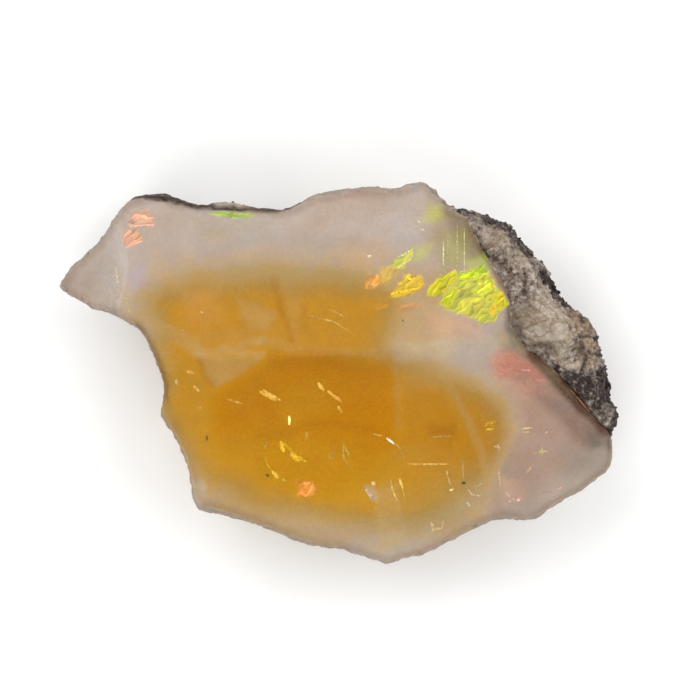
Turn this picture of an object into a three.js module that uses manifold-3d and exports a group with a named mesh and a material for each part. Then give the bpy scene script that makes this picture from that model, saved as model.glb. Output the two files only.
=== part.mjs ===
// Opal in matrix: a broken slab of honey-coloured opal with milky margins, still held by the rough
// rock that it formed in. The rock stands along the right of the broken face and runs on under the
// opal as a thin rind. The stone lies on its flat back. Millimetres, +Z up, X along the length.
import * as THREE from "three";
import { ImprovedNoise } from "three/addons/math/ImprovedNoise.js";
import { mergeVertices } from "three/addons/utils/BufferGeometryUtils.js";
import Module from "manifold-3d";

const wasm = await Module();
wasm.setup();
const perlin = new ImprovedNoise();

// Driving dimensions
const STONE_HEIGHT = 13; // the uncut block that the faces are broken out of
const GAP = 0.3; // between the opal and the rock
const OUTLINE_STEP = 1.1; // along the outline
const FACE_STEP = 1.5; // across each scar of the broken face
const ROCK_STEP = 0.65; // across the rough rock
const CONTACT_STEP = 1.8; // across the contact between them
const FIELD = { width: 54, depth: 40, below: 4 }; // the ground that a relief covers

// The outline seen from above, clockwise. Each run is a smooth curve, and runs meet at sharp corners.
const OUTLINE_RUNS = {
  wedge: [[-22.3, 6.8], [-21.15, 8.4], [-18.9, 10.45], [-17.8, 12.1]],
  shoulder: [[-16.3, 14.0], [-13.9, 14.25], [-12.0, 13.65]],
  notch: [[-10.6, 13.3], [-9.2, 13.55], [-7.8, 13.55], [-6.7, 13.2], [-4.2, 13.05], [-2.9, 13.55]],
  crown: [[-1.9, 14.2], [0.2, 14.6], [2.6, 14.9], [4.9, 14.7], [5.8, 15.2]],
  saddle: [[7.0, 15.3], [8.3, 14.1], [9.0, 13.3]],
  rockShoulder: [[9.6, 13.0], [10.2, 13.2], [12.8, 12.1]],
  rockFlank: [[13.95, 11.75], [14.4, 11.0], [15.95, 9.25], [16.75, 8.2], [17.45, 6.9]],
  rockKnob: [[19.0, 4.9], [19.9, 4.5], [20.6, 3.4], [21.0, 2.0], [21.8, -0.7], [21.8, -2.2]],
  rockToe: [[22.4, -3.2], [22.4, -4.1]],
  rightEnd: [[21.8, -4.6], [21.75, -5.2]],
  lowerRight: [[22.1, -6.85], [21.6, -7.75], [19.5, -9.35], [17.0, -10.75]],
  lowerStep: [[16.05, -11.5], [14.65, -11.85], [12.7, -11.65], [10.3, -12.8], [7.7, -14.1], [6.3, -14.7]],
  keel: [[5.2, -14.8], [4.95, -15.2], [4.1, -15.3], [3.1, -15.0]],
  lowerEdge: [[0.6, -14.2], [-2.3, -13.8], [-5.0, -12.7], [-7.4, -11.8], [-8.4, -11.75], [-9.5, -11.2]],
  leftCorner: [[-11.1, -11.15], [-11.5, -9.5], [-11.85, -7.3], [-12.8, -5.2]],
  scallop: [[-14.0, -3.4], [-13.55, -2.2], [-13.75, -0.5], [-15.0, 2.6], [-15.9, 3.6], [-18.0, 4.8]],
  tip: [[-19.2, 5.0], [-20.6, 5.8]],
};

// The stone draws in towards this line as its wall goes down to the base.
const SPINE = new THREE.Line3(new THREE.Vector3(-13.5, 7.5, 0), new THREE.Vector3(16, -1.5, 0));

// Heights of the wall, and how far it draws in at each as a share of the way to the spine
const WALL = [
  { z: 0, drawIn: 0.32 },
  { z: 1.2, drawIn: 0.2 },
  { z: 2.4, drawIn: 0.12 },
  { z: 3.6, drawIn: 0.07 },
  { z: 4.8, drawIn: 0.03 },
  { z: 6.2, drawIn: 0 },
  { z: 9.4, drawIn: 0.02 },
  { z: STONE_HEIGHT, drawIn: 0.05 },
];
const WALL_WAVE = 6; // length of the bulges in the wall
const WALL_SWING = 0.8; // how much they change the draw
const ROCK_WALL = { wave: 2.6, depth: 1.5, top: 6, blend: 2 }; // hollows in the rock's part of the wall

// The dark skin of the rind stands just proud of the opal along the upper left edge.
const SKIN = { fromZ: [0.6, 2.4], top: 4.7, drawIn: -0.02, fromY: [10.5, 12.5], untilX: [-4.5, -1.5] };

// Flake scars that make the broken face: each is a dish with its floor at a height, which rises by
// one amount at its reach in x and again at its reach in y.
const FACE_SCARS = {
  oldFace: { at: [0, 0], floor: 12.3, reach: [40, 40], rise: 0.2 },
  upperTerrace: { at: [-2, 5.5], floor: 11.2, reach: [13, 5.5], rise: 1.1 },
  honeyBasin: { at: [0, -5.5], floor: 9.6, reach: [12, 6.5], rise: 1.6 },
  innerScar: { at: [-0.5, -8.2], floor: 9.0, reach: [5.5, 5.5], rise: 0.75 },
  rightSlope: { at: [21, -7], floor: 8.8, reach: [11, 12], rise: 2.0 },
  wedgeSlope: { at: [-24, 6.5], floor: 7.0, reach: [7, 14], rise: 4.6 },
  topMargin: { at: [2, 19], floor: 10.2, reach: [26, 7.5], rise: 2.0 },
  lowerMargin: { at: [2, -19], floor: 6.6, reach: [26, 7], rise: 3.0 },
};
const FACE_WAVE = { length: 5, height: 0.22 };
const SCAR_WANDER = { length: 8, reach: 2.2 }; // how far the edge of a scar strays

// Flakes struck off the opal's wall and back: a spot, the way it faces, and the dish's size. The one at
// the crown takes the rock under it too.
const EDGE_SCARS = [
  { at: [-12.2, -2.4, 2.0], facing: [-1, -0.25, -0.7], radius: 4.6, depth: 1.1 },
  { at: [-9.4, -7.4, 2.0], facing: [-0.8, -0.6, -0.7], radius: 5.6, depth: 1.1 },
  { at: [-3.2, -11.2, 2.2], facing: [-0.3, -1, -0.75], radius: 6.8, depth: 1.4 },
  { at: [7.4, -11.4, 2.2], facing: [0.35, -1, -0.75], radius: 6.6, depth: 1.4 },
  { at: [-19.0, 7.0, 1.6], facing: [-1, 0, -1.3], radius: 4.6, depth: 0.6 },
  { at: [-7.6, 12.2, 5.6], facing: [-0.1, 1, -0.5], radius: 5.2, depth: 0.8 },
];
const CROWN_SCAR = { at: [2.6, 14.0, 3.4], facing: [0.1, 1, -0.9], radius: 5.2, depth: 0.9 };
const SCAR_SIDES = 20;
const SCAR_RINGS = 5;
const SCAR_MOUTH = { radius: 1.25, height: 2 }; // the open side of a dish, in its radius and its depth
const SCAR_SWAY = { length: 4, share: 0.3 }; // how far a scar's edge strays from a circle

// Where the rock meets the opal on the face, from the top edge down to the right end
const CONTACT_LINE = [
  [10.8, 15.5], [10.0, 13.0], [11.3, 10.6], [12.5, 8.8], [14.0, 6.4], [14.1, 3.8],
  [15.0, 2.4], [17.1, 1.0], [19.3, -1.4], [21.2, -3.9], [23.0, -4.8],
].map(([x, y]) => new THREE.Vector2(x, y));
const ROCK_EDGE = ["rockShoulder", "rockFlank", "rockKnob", "rockToe"]
  .flatMap((run) => OUTLINE_RUNS[run])
  .map(([x, y]) => new THREE.Vector2(x, y));
const CONTACT = { slope: 1.7, wave: 5, waveHeight: 0.4, slice: 7 };

// The rind under the opal: its thickness, and the line in y where it runs out below the base. A slice
// sets which part of the waves a relief is cut from.
const RIND = { thickness: 3.0, below: -2, innerEdge: 5.2, lean: -0.18, feather: 1.6 };
const RIND_WAVE = { length: 5, height: 1.4, slice: 3 };

// The rock falls away from the opal and rounds over at its outer edge, with lumps and pits on it. A
// lump is a spot, a radius and a height, which is negative for a pit.
const ROCK_TOP = 9.3; // beside the contact
const ROCK_FALL = 0.12; // drop for each millimetre away from it
const ROCK_SHOULDER = 2.6; // radius of the rounded outer edge
const ROCK_WAVES = [{ length: 2.3, height: 0.5, slice: 5 }, { length: 1.1, height: 0.35, slice: 5 }];
const ROCK_LUMPS = [
  [11.4, 11.6, 1.7, 0.8], [13.4, 9.9, 1.9, 0.9], [15.2, 7.8, 2.0, 0.8], [15.8, 4.1, 2.9, 1.3],
  [18.1, 3.3, 2.7, 1.5], [20.2, 2.2, 1.6, 0.8], [18.6, 0.2, 1.9, 0.6], [20.4, -1.0, 1.8, 1.0],
  [21.7, -3.2, 1.4, 1.6], [14.9, 5.6, 0.9, -1.0], [17.0, 1.9, 1.0, -0.9], [19.2, 1.5, 1.0, -1.0],
  [14.0, 9.0, 0.8, -0.7], [12.3, 10.9, 0.8, -0.7], [19.8, -0.4, 0.8, -0.7], [16.9, 5.3, 0.8, -0.7],
];

// Colours and finishes
const OPAL_FINISH = { color: 0xbd8a3a, roughness: 0.15, metalness: 0 };
const ROCK_FINISH = { color: 0x8a7c70, roughness: 0.9, metalness: 0 };

const { smoothstep, lerp, clamp } = THREE.MathUtils;

// Smooth uneven waves of one length, between -1 and 1
function wave(x, y, z, length) {
  return perlin.noise(x / length, y / length, z / length);
}

// A closed geometry as a solid that can be cut
function solidOf(geometry) {
  const bare = geometry.clone();
  bare.deleteAttribute("normal");
  bare.deleteAttribute("uv");
  const merged = mergeVertices(bare, 1e-4);
  return new wasm.Manifold(
    new wasm.Mesh({
      numProp: 3,
      vertProperties: merged.attributes.position.array,
      triVerts: new Uint32Array(merged.index.array),
    }),
  );
}

// The largest body of a solid, as a named mesh in its finish
function meshOf(name, solid, finish) {
  const [body] = solid.decompose().sort((a, b) => b.volume() - a.volume());
  const { vertProperties, triVerts } = body.getMesh();
  const geometry = new THREE.BufferGeometry();
  geometry.setAttribute("position", new THREE.BufferAttribute(vertProperties, 3));
  geometry.setIndex(new THREE.BufferAttribute(triVerts, 1));
  geometry.computeVertexNormals();
  const mesh = new THREE.Mesh(geometry, new THREE.MeshStandardMaterial(finish));
  mesh.name = name;
  return mesh;
}

// Points evenly along the outline, anticlockwise
function outlinePoints() {
  const runs = Object.values(OUTLINE_RUNS);
  const points = runs.flatMap((run, i) => {
    const next = runs[(i + 1) % runs.length][0];
    const curve = new THREE.SplineCurve([...run, next].map(([x, y]) => new THREE.Vector2(x, y)));
    const steps = Math.max(1, Math.round(curve.getLength() / OUTLINE_STEP));
    return curve.getSpacedPoints(steps).slice(0, -1);
  });
  return points.reverse();
}

// Distance of a spot from a line of points, positive to the right of the way that the line runs
function offsetFrom(line, x, y) {
  const spot = new THREE.Vector2(x, y);
  let best = Infinity;
  let side = 1;
  for (let i = 1; i < line.length; i++) {
    const start = line[i - 1];
    const along = line[i].clone().sub(start);
    const reach = spot.clone().sub(start);
    const share = clamp(reach.dot(along) / along.lengthSq(), 0, 1);
    const distance = reach.distanceTo(along.clone().multiplyScalar(share));
    if (distance < best) {
      best = distance;
      side = along.cross(reach) < 0 ? 1 : -1;
    }
  }
  return best * side;
}

// One point of the wall, drawn in towards the spine, with hollows in the rock's part of it
function wallPoint(point, { z, drawIn }) {
  const rim = new THREE.Vector3(point.x, point.y, 0);
  const inner = SPINE.closestPointToPoint(rim, true, new THREE.Vector3());
  const outward = rim.clone().sub(inner).normalize();
  const skinEnds = smoothstep(rim.y, ...SKIN.fromY) * (1 - smoothstep(rim.x, ...SKIN.untilX));
  const inSkin = z < SKIN.top ? skinEnds * smoothstep(z, ...SKIN.fromZ) : 0;
  const swing = 1 + WALL_SWING * wave(rim.x, rim.y, z, WALL_WAVE);
  const share = lerp(drawIn * swing, SKIN.drawIn, inSkin);
  const inRock = Math.max(inSkin, smoothstep(-offsetFrom(CONTACT_LINE, rim.x, rim.y), 0, ROCK_WALL.blend));
  const hollow = z < ROCK_WALL.top ? Math.max(0, wave(rim.x, rim.y, z, ROCK_WALL.wave)) : 0;
  return rim.lerp(inner, share).addScaledVector(outward, -ROCK_WALL.depth * hollow * inRock).setZ(z);
}

// The whole stone before its faces are broken: rings of wall points with a flat base and a flat top
function stoneBlock() {
  const outline = outlinePoints();
  const count = outline.length;
  const rings = WALL.map((level) => outline.map((point) => wallPoint(point, level)));
  const index = [];
  for (let ring = 0; ring + 1 < rings.length; ring++) {
    for (let i = 0; i < count; i++) {
      const low = ring * count + i;
      const lowNext = ring * count + ((i + 1) % count);
      index.push(low, lowNext, lowNext + count, low, lowNext + count, low + count);
    }
  }
  const top = (rings.length - 1) * count;
  for (const [a, b, c] of THREE.ShapeUtils.triangulateShape(rings[0], [])) index.push(a, c, b);
  for (const [a, b, c] of THREE.ShapeUtils.triangulateShape(rings.at(-1), [])) {
    index.push(top + a, top + b, top + c);
  }
  const geometry = new THREE.BufferGeometry().setFromPoints(rings.flat());
  return solidOf(geometry.setIndex(index));
}

// Everything below a relief, given as a height at each x and y
function blockUnder(height, step) {
  const { width, depth, below } = FIELD;
  const box = new THREE.BoxGeometry(width, depth, below, Math.round(width / step), Math.round(depth / step));
  const spots = box.attributes.position;
  for (let i = 0; i < spots.count; i++) {
    const isTop = spots.getZ(i) > 0;
    spots.setZ(i, isTop ? height(spots.getX(i), spots.getY(i)) : -below);
  }
  return solidOf(box);
}

// One scar of the broken face, with slow waves of its own
function scarHeight({ at, floor, reach, rise }, x, y) {
  const strayX = SCAR_WANDER.reach * wave(x, y, at[0] + floor, SCAR_WANDER.length);
  const strayY = SCAR_WANDER.reach * wave(x, y, at[1] - floor, SCAR_WANDER.length);
  const across = ((x + strayX - at[0]) / reach[0]) ** 2 + ((y + strayY - at[1]) / reach[1]) ** 2;
  return floor + rise * across + FACE_WAVE.height * wave(x, y, floor, FACE_WAVE.length);
}

// The broken face is the lowest of its scars.
function faceHeight(x, y) {
  return Math.min(...Object.values(FACE_SCARS).map((scar) => scarHeight(scar, x, y)));
}

// The top of the rock beneath the opal: a ramp down from the contact line, and the rind beyond it
function contactHeight(x, y) {
  const ramp = faceHeight(x, y) - CONTACT.slope * offsetFrom(CONTACT_LINE, x, y);
  const sway = RIND_WAVE.height * wave(x, y, RIND_WAVE.slice, RIND_WAVE.length);
  const innerEdge = RIND.innerEdge + RIND.lean * x + sway;
  const rind = lerp(RIND.below, RIND.thickness, smoothstep(y, innerEdge, innerEdge + RIND.feather));
  return Math.max(ramp, rind) + CONTACT.waveHeight * wave(x, y, CONTACT.slice, CONTACT.wave);
}

// The rock's own top
function rockHeight(x, y) {
  const away = Math.max(0, -offsetFrom(CONTACT_LINE, x, y));
  const inside = Math.max(0, offsetFrom(ROCK_EDGE, x, y));
  const short = Math.max(0, ROCK_SHOULDER - inside);
  const rounding = ROCK_SHOULDER - Math.sqrt(ROCK_SHOULDER ** 2 - short ** 2);
  const lumps = ROCK_LUMPS.map(([atX, atY, radius, height]) => {
    const share = Math.hypot(x - atX, y - atY) / radius;
    return height * (1 - smoothstep(share, 0, 1));
  });
  const waves = ROCK_WAVES.map(({ length, height, slice }) => height * wave(x, y, slice, length));
  const rough = [...lumps, ...waves].reduce((sum, rise) => sum + rise, 0);
  return ROCK_TOP - ROCK_FALL * away - rounding + rough;
}

// A shallow dish that takes one flake off the wall
function edgeScar({ at, facing, radius, depth }) {
  const profile = [];
  for (let i = 0; i <= SCAR_RINGS; i++) {
    const share = i / SCAR_RINGS;
    profile.push(new THREE.Vector2(radius * share, depth * (share * share - 1)));
  }
  const mouth = depth * SCAR_MOUTH.height;
  profile.push(new THREE.Vector2(radius * SCAR_MOUTH.radius, mouth), new THREE.Vector2(0, mouth));
  const dish = new THREE.LatheGeometry(profile, SCAR_SIDES);
  const spots = dish.attributes.position;
  for (let i = 0; i < spots.count; i++) {
    const x = spots.getX(i);
    const z = spots.getZ(i);
    const sway = 1 + SCAR_SWAY.share * wave(x + at[0], z + at[1], at[2], SCAR_SWAY.length);
    spots.setX(i, x * sway);
    spots.setZ(i, z * sway);
  }
  const outward = new THREE.Vector3(...facing).normalize();
  dish.applyQuaternion(new THREE.Quaternion().setFromUnitVectors(new THREE.Vector3(0, 1, 0), outward));
  return solidOf(dish.translate(...at));
}

function opalSolid(block) {
  const bed = blockUnder((x, y) => contactHeight(x, y) + GAP, CONTACT_STEP);
  const broken = Object.values(FACE_SCARS).reduce((stone, scar) => {
    const face = blockUnder((x, y) => scarHeight(scar, x, y), FACE_STEP);
    return stone.intersect(face);
  }, block.subtract(bed));
  return [...EDGE_SCARS, CROWN_SCAR].reduce((stone, scar) => stone.subtract(edgeScar(scar)), broken);
}

function rockSolid(block) {
  const bed = blockUnder(contactHeight, CONTACT_STEP);
  const rock = block.intersect(bed).intersect(blockUnder(rockHeight, ROCK_STEP));
  return rock.subtract(edgeScar(CROWN_SCAR));
}

const block = stoneBlock();
const specimen = new THREE.Group();
specimen.add(meshOf("opal", opalSolid(block), OPAL_FINISH));
specimen.add(meshOf("matrix", rockSolid(block), ROCK_FINISH));

// The origin is on the ground, under the middle of the stone.
const middle = new THREE.Box3().setFromObject(specimen).getCenter(new THREE.Vector3());
specimen.position.set(-middle.x, -middle.y, 0);

const part = new THREE.Group();
part.add(specimen);
export default part;
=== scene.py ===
# %% [markdown]
# A broken slab of honey opal, still on a piece of the rock it grew in. The frame comes first: it is the
# finished CAD model, and every piece below is built on it and in its place, in metres.

# %% Load the fixed frame
import math

import bmesh
import bpy
import numpy as np
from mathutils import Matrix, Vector, noise
from mathutils.bvhtree import BVHTree
from mathutils.kdtree import KDTree


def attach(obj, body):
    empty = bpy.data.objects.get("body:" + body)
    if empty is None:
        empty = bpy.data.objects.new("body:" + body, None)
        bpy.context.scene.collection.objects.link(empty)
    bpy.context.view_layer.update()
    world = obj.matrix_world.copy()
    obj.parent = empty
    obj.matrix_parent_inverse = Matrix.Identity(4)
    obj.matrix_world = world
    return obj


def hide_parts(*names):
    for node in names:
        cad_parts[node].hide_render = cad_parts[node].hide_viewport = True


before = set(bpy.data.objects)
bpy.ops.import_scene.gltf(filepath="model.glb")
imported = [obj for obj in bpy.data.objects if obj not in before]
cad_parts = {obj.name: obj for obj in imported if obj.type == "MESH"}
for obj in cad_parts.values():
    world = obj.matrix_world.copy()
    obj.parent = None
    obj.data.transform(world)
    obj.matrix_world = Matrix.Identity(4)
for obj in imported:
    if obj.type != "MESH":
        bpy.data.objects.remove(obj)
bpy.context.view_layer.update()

MM = 0.001

# %% [markdown]
# Two small helpers serve every material. Colours are written as they look on screen, in sRGB hex, but
# Blender's sockets take linear light, so one function converts them. The other adds a node, sets it up and
# wires its inputs in one line, which keeps a node tree readable as text.

# %% Helpers for colours and nodes
def colour(hex_code):
    """An sRGB hex value as linear RGBA."""
    channels = [int(hex_code[place:place + 2], 16) / 255 for place in (1, 3, 5)]
    return (*[c / 12.92 if c <= 0.04045 else ((c + 0.055) / 1.055) ** 2.4 for c in channels], 1.0)


def add(tree, kind, links=None, stops=None, out=0, **settings):
    """A new node's output out, or the node for None. links gives each input a value or what feeds it."""
    made = tree.nodes.new(kind)
    for name, value in settings.items():
        setattr(made, name, value)
    for place, value in (links or {}).items():
        if isinstance(value, bpy.types.NodeSocket):
            tree.links.new(value, made.inputs[place])
        else:
            made.inputs[place].default_value = colour(value) if str(value).startswith("#") else value
    if stops:
        elements = made.color_ramp.elements
        elements[0].position, elements[-1].position = stops[0][0], stops[-1][0]
        elements[0].color, elements[-1].color = colour(stops[0][1]), colour(stops[-1][1])
        for position, shade in stops[1:-1]:
            elements.new(position).color = colour(shade)
    return made if out is None else made.outputs[out]


print("honey as linear light:", [round(c, 3) for c in colour("#bb7f19")[:3]])

# %% [markdown]
# The CAD solids are faceted. A stone is not, so each visible piece starts from a merged copy of its solid
# that a voxel remesh turns into an even net of small squares. A Subdivision Surface would round the broken
# edges away, while a voxel net keeps them. What is left of the flat facets is then evened out by moving
# each point towards its neighbours, except across a ridge, where the neighbours' normals differ too much.

# %% Helpers for turning a solid into an even net
MERGE = 0.001 * MM


def merged_copy(node, name):
    """A new object with a copy of the CAD node's mesh, its loose triangles joined."""
    mesh, net = bpy.data.meshes.new(name), bmesh.new()
    net.from_mesh(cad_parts[node].data)
    bmesh.ops.remove_doubles(net, verts=net.verts, dist=MERGE)
    net.to_mesh(mesh)
    net.free()
    piece = bpy.data.objects.new(name, mesh)
    bpy.context.scene.collection.objects.link(piece)
    return piece


def keep_result(piece):
    """Makes the result of the piece's modifiers its own plain mesh and removes them."""
    graph = bpy.context.evaluated_depsgraph_get()
    mesh = bpy.data.meshes.new_from_object(piece.evaluated_get(graph))
    piece.modifiers.clear()
    piece.data = mesh
    mesh.name = piece.name
    mesh.shade_smooth()


def read(items, field, width):
    """One field of all vertices, edges or normals as an array of rows."""
    values = np.empty(len(items) * width, int if field == "vertices" else float)
    items.foreach_get(field, values)
    return values.reshape(-1, width)


OWN_PULL = 0.01  # holds a sharp corner in place when no neighbour pulls it
STEP = 0.6  # how far a point goes towards its neighbours in one round
GROUND = 0.1 * MM  # what is lower than this stays on the ground
FIRST_PASS = {"rounds": 3, "ridge_deg": 50}  # takes off the steps that voxels leave


def even_out(mesh, rounds, ridge_deg):
    """Moves points towards their neighbours, but hardly across ridges sharper than ridge_deg."""
    first, second = read(mesh.edges, "vertices", 2).T
    points = read(mesh.vertices, "co", 3)
    on_ground = points[:, 2] < GROUND
    for _ in range(rounds):
        normals = read(mesh.vertex_normals, "vector", 3)
        turn = np.degrees(np.arccos(np.clip((normals[first] * normals[second]).sum(1), -1, 1)))
        pull = np.exp(-(turn / ridge_deg) ** 2)
        total = np.bincount(first, pull, len(points)) + np.bincount(second, pull, len(points)) + OWN_PULL
        mean = np.column_stack([
            np.bincount(first, pull * points[second, axis], len(points))
            + np.bincount(second, pull * points[first, axis], len(points)) for axis in range(3)])
        mean = (mean + OWN_PULL * points) / total[:, None]
        mean[on_ground] = points[on_ground]
        points = (1 - STEP) * points + STEP * mean
        mesh.vertices.foreach_set("co", points.ravel())
        mesh.update()


def even_net(piece, voxel, rounds, ridge_deg):
    """Remeshes the piece to squares of that size in metres and evens out its facets."""
    remesh = piece.modifiers.new("even_net", "REMESH")
    remesh.mode, remesh.voxel_size = "VOXEL", voxel
    keep_result(piece)
    even_out(piece.data, **FIRST_PASS)
    even_out(piece.data, rounds, ridge_deg)
    print(piece.name, "has", len(piece.data.polygons), "faces")


# %% [markdown]
# Opal breaks like glass, in shallow shells with faint ripples round the point of the blow. The large shells
# are in the CAD. A Geometry Nodes tree adds the ripples and a slight unevenness along the surface's normal.
# A bump map would do for the front view, but real relief also holds at the edges and in the exported mesh.

# %% Opal body
OPAL_VOXEL = 0.2 * MM
opal = merged_copy("opal", "opal_body")
even_net(opal, OPAL_VOXEL, rounds=14, ridge_deg=9)


def new_tree(name, inputs):
    """A Geometry Nodes tree with the named inputs. Returns it with its input and output nodes."""
    tree = bpy.data.node_groups.new(name, "GeometryNodeTree")
    tree.interface.new_socket("Geometry", in_out="INPUT", socket_type="NodeSocketGeometry")
    tree.interface.new_socket("Geometry", in_out="OUTPUT", socket_type="NodeSocketGeometry")
    for label, kind in inputs.items():
        tree.interface.new_socket(label, in_out="INPUT", socket_type="NodeSocket" + kind)
    return tree, add(tree, "NodeGroupInput", out=None).outputs, add(tree, "NodeGroupOutput", out=None)


def grow(piece, tree, **values):
    """Runs the tree on the piece with those input values and keeps the result as a plain mesh."""
    modifier = piece.modifiers.new(tree.name, "NODES")
    modifier.node_group = tree
    for socket in tree.interface.items_tree:
        if socket.in_out == "INPUT" and socket.name in values:
            modifier[socket.identifier] = values[socket.name]
    keep_result(piece)
    print(tree.name, "made", piece.name, "with", len(piece.data.polygons), "faces")


tree, given, result = new_tree("conchoidal_ripples", {
    "Blow": "Vector", "Spacing": "Float", "Reach": "Float", "Ripple": "Float",
    "Lump": "Float", "Unevenness": "Float", "Chip": "Float", "Chip Height": "Float", "Material": "Material"})
place = add(tree, "GeometryNodeInputPosition")
away = add(tree, "ShaderNodeVectorMath", {0: place, 1: given["Blow"]}, operation="DISTANCE", out="Value")
turns = add(tree, "ShaderNodeMath", {0: away, 1: given["Spacing"]}, operation="DIVIDE")
wave = add(tree, "ShaderNodeMath", {0: turns, 1: 0.0}, operation="SINE")
fade = add(tree, "ShaderNodeMapRange",
           {"Value": away, "From Max": given["Reach"], "To Min": 1.0, "To Max": 0.0})
rise = add(tree, "ShaderNodeMath", {0: wave, 1: fade}, operation="MULTIPLY")
rise = add(tree, "ShaderNodeMath", {0: rise, 1: given["Ripple"]}, operation="MULTIPLY")
per_metre = add(tree, "ShaderNodeMath", {0: 1.0, 1: given["Lump"]}, operation="DIVIDE")
lumps = add(tree, "ShaderNodeTexNoise", {"Vector": place, "Scale": per_metre, "Detail": 2.0})
lumps = add(tree, "ShaderNodeMath", {0: lumps, 1: 0.5}, operation="SUBTRACT")
rise = add(tree, "ShaderNodeMath", {0: lumps, 1: given["Unevenness"], 2: rise}, operation="MULTIPLY_ADD")
normal = add(tree, "GeometryNodeInputNormal")
upright = add(tree, "ShaderNodeSeparateXYZ", {0: normal}, out="Z")
on_wall = add(tree, "ShaderNodeMapRange", {"Value": upright, "From Min": 0.6, "From Max": 0.15},
              interpolation_type="SMOOTHSTEP")
per_metre = add(tree, "ShaderNodeMath", {0: 1.0, 1: given["Chip"]}, operation="DIVIDE")
chips = add(tree, "ShaderNodeTexNoise",
            {"Vector": place, "Scale": per_metre, "Detail": 3.0, "Roughness": 0.6})
chips = add(tree, "ShaderNodeMath", {0: chips, 1: 0.5}, operation="SUBTRACT")
chips = add(tree, "ShaderNodeMath", {0: chips, 1: on_wall}, operation="MULTIPLY")
rise = add(tree, "ShaderNodeMath", {0: chips, 1: given["Chip Height"], 2: rise}, operation="MULTIPLY_ADD")
height = add(tree, "ShaderNodeSeparateXYZ", {0: place}, out="Z")
off_ground = add(tree, "ShaderNodeMapRange", {"Value": height, "From Min": 0.2 * MM, "From Max": 1.2 * MM})
rise = add(tree, "ShaderNodeMath", {0: rise, 1: off_ground}, operation="MULTIPLY")
step = add(tree, "ShaderNodeVectorMath", {0: normal, "Scale": rise}, operation="SCALE")
moved = add(tree, "GeometryNodeSetPosition", {"Geometry": given["Geometry"], "Offset": step})
whole = add(tree, "GeometryNodeRealizeInstances", {0: moved})
dressed = add(tree, "GeometryNodeSetMaterial", {0: whole, "Material": given["Material"]})
tree.links.new(dressed, result.inputs[0])

opal_material = bpy.data.materials.new("precious_opal_broken_face")
grow(opal, tree, **{"Blow": (6 * MM, 16 * MM, 10 * MM), "Spacing": 0.35 * MM, "Reach": 26 * MM,
                    "Ripple": 0.012 * MM, "Lump": 2.2 * MM, "Unevenness": 0.16 * MM, "Chip": 0.9 * MM,
                    "Chip Height": 0.7 * MM, "Material": opal_material})

# %% [markdown]
# The opal is one body, but its colour changes across it: a clear honey core, milky margins, rosy and olive
# borders, whitish veils where an inner crack scatters the light. Some zones are painted light instead:
# highlights along the ledge and a ridge, and shade in grooves, under the ledge and along the rim. None of
# this has a shape of its own, so it is painted as masks on the mesh's points, and the material turns masks
# into colour. Places are given as the photograph's pixels, because they were read there; one line converts
# them to the stone's millimetres.

# %% Helpers for painting masks
PIXEL_MM = 0.08
ORIGIN_PIXEL = (337.3, 372.8)
noise.seed_set(1)  # without this, noise vectors start from the clock and differ from run to run


def ease(values, low, high):
    """0 below low, 1 above high, and a smooth step between them."""
    share = np.clip((values - low) / (high - low), 0, 1)
    return share * share * (3 - 2 * share)


def pixels(points):
    """Where points of the stone lie in the photograph."""
    return np.column_stack([points[:, 0] / (PIXEL_MM * MM) + ORIGIN_PIXEL[0],
                            ORIGIN_PIXEL[1] - points[:, 1] / (PIXEL_MM * MM)])


def wander(where, size, reach, seed):
    """Shifts places by a slow random drift, so that a painted border isn't drawn with a ruler."""
    drift = [noise.noise_vector(Vector((x / size, y / size, seed))) for x, y in where]
    return where + reach * np.array([(d.x, d.y) for d in drift])


def gap_to_path(where, path):
    """The distance from each place to a line of points."""
    nearest = np.full(len(where), np.inf)
    for start, end in zip(np.array(path[:-1], float), np.array(path[1:], float)):
        run = end - start
        share = np.clip((where - start) @ run / (run @ run), 0, 1)
        nearest = np.minimum(nearest, np.hypot(*(where - start - share[:, None] * run).T))
    return nearest


def inside(where, corners, soft):
    """1 inside the corners, 0 outside, easing over soft pixels on both sides of the border."""
    odd = np.zeros(len(where), bool)
    for (x0, y0), (x1, y1) in zip(corners, corners[1:] + corners[:1]):
        if y0 != y1:
            spans = (y0 > where[:, 1]) != (y1 > where[:, 1])
            odd ^= spans & (where[:, 0] < x0 + (x1 - x0) * (where[:, 1] - y0) / (y1 - y0))
    nearest = gap_to_path(where, corners + corners[:1])
    return ease(np.where(odd, nearest, -nearest), -soft, soft)


def stroke(where, path, width, soft):
    """1 within width of a line of points, easing to 0 over soft pixels."""
    return 1 - ease(gap_to_path(where, path), width / 2, width / 2 + soft)


def paint(mesh, name, values):
    """Keeps the values as an attribute of the mesh's points, for the material to read."""
    kind, field = ("FLOAT", "value") if values.ndim == 1 else ("FLOAT_VECTOR", "vector")
    mesh.attributes.new(name, kind, "POINT").data.foreach_set(
        field, np.ascontiguousarray(values, np.float32).ravel())
    print(f"{name}: mean {values.mean():.3f}, most {values.max():.2f}")


# %% [markdown]
# The zones are a table: for each mask, the areas and lines that make it up. An image texture would be
# quicker to paint, but it would fix the look to one size and one view, and a table can be read and changed.

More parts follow.
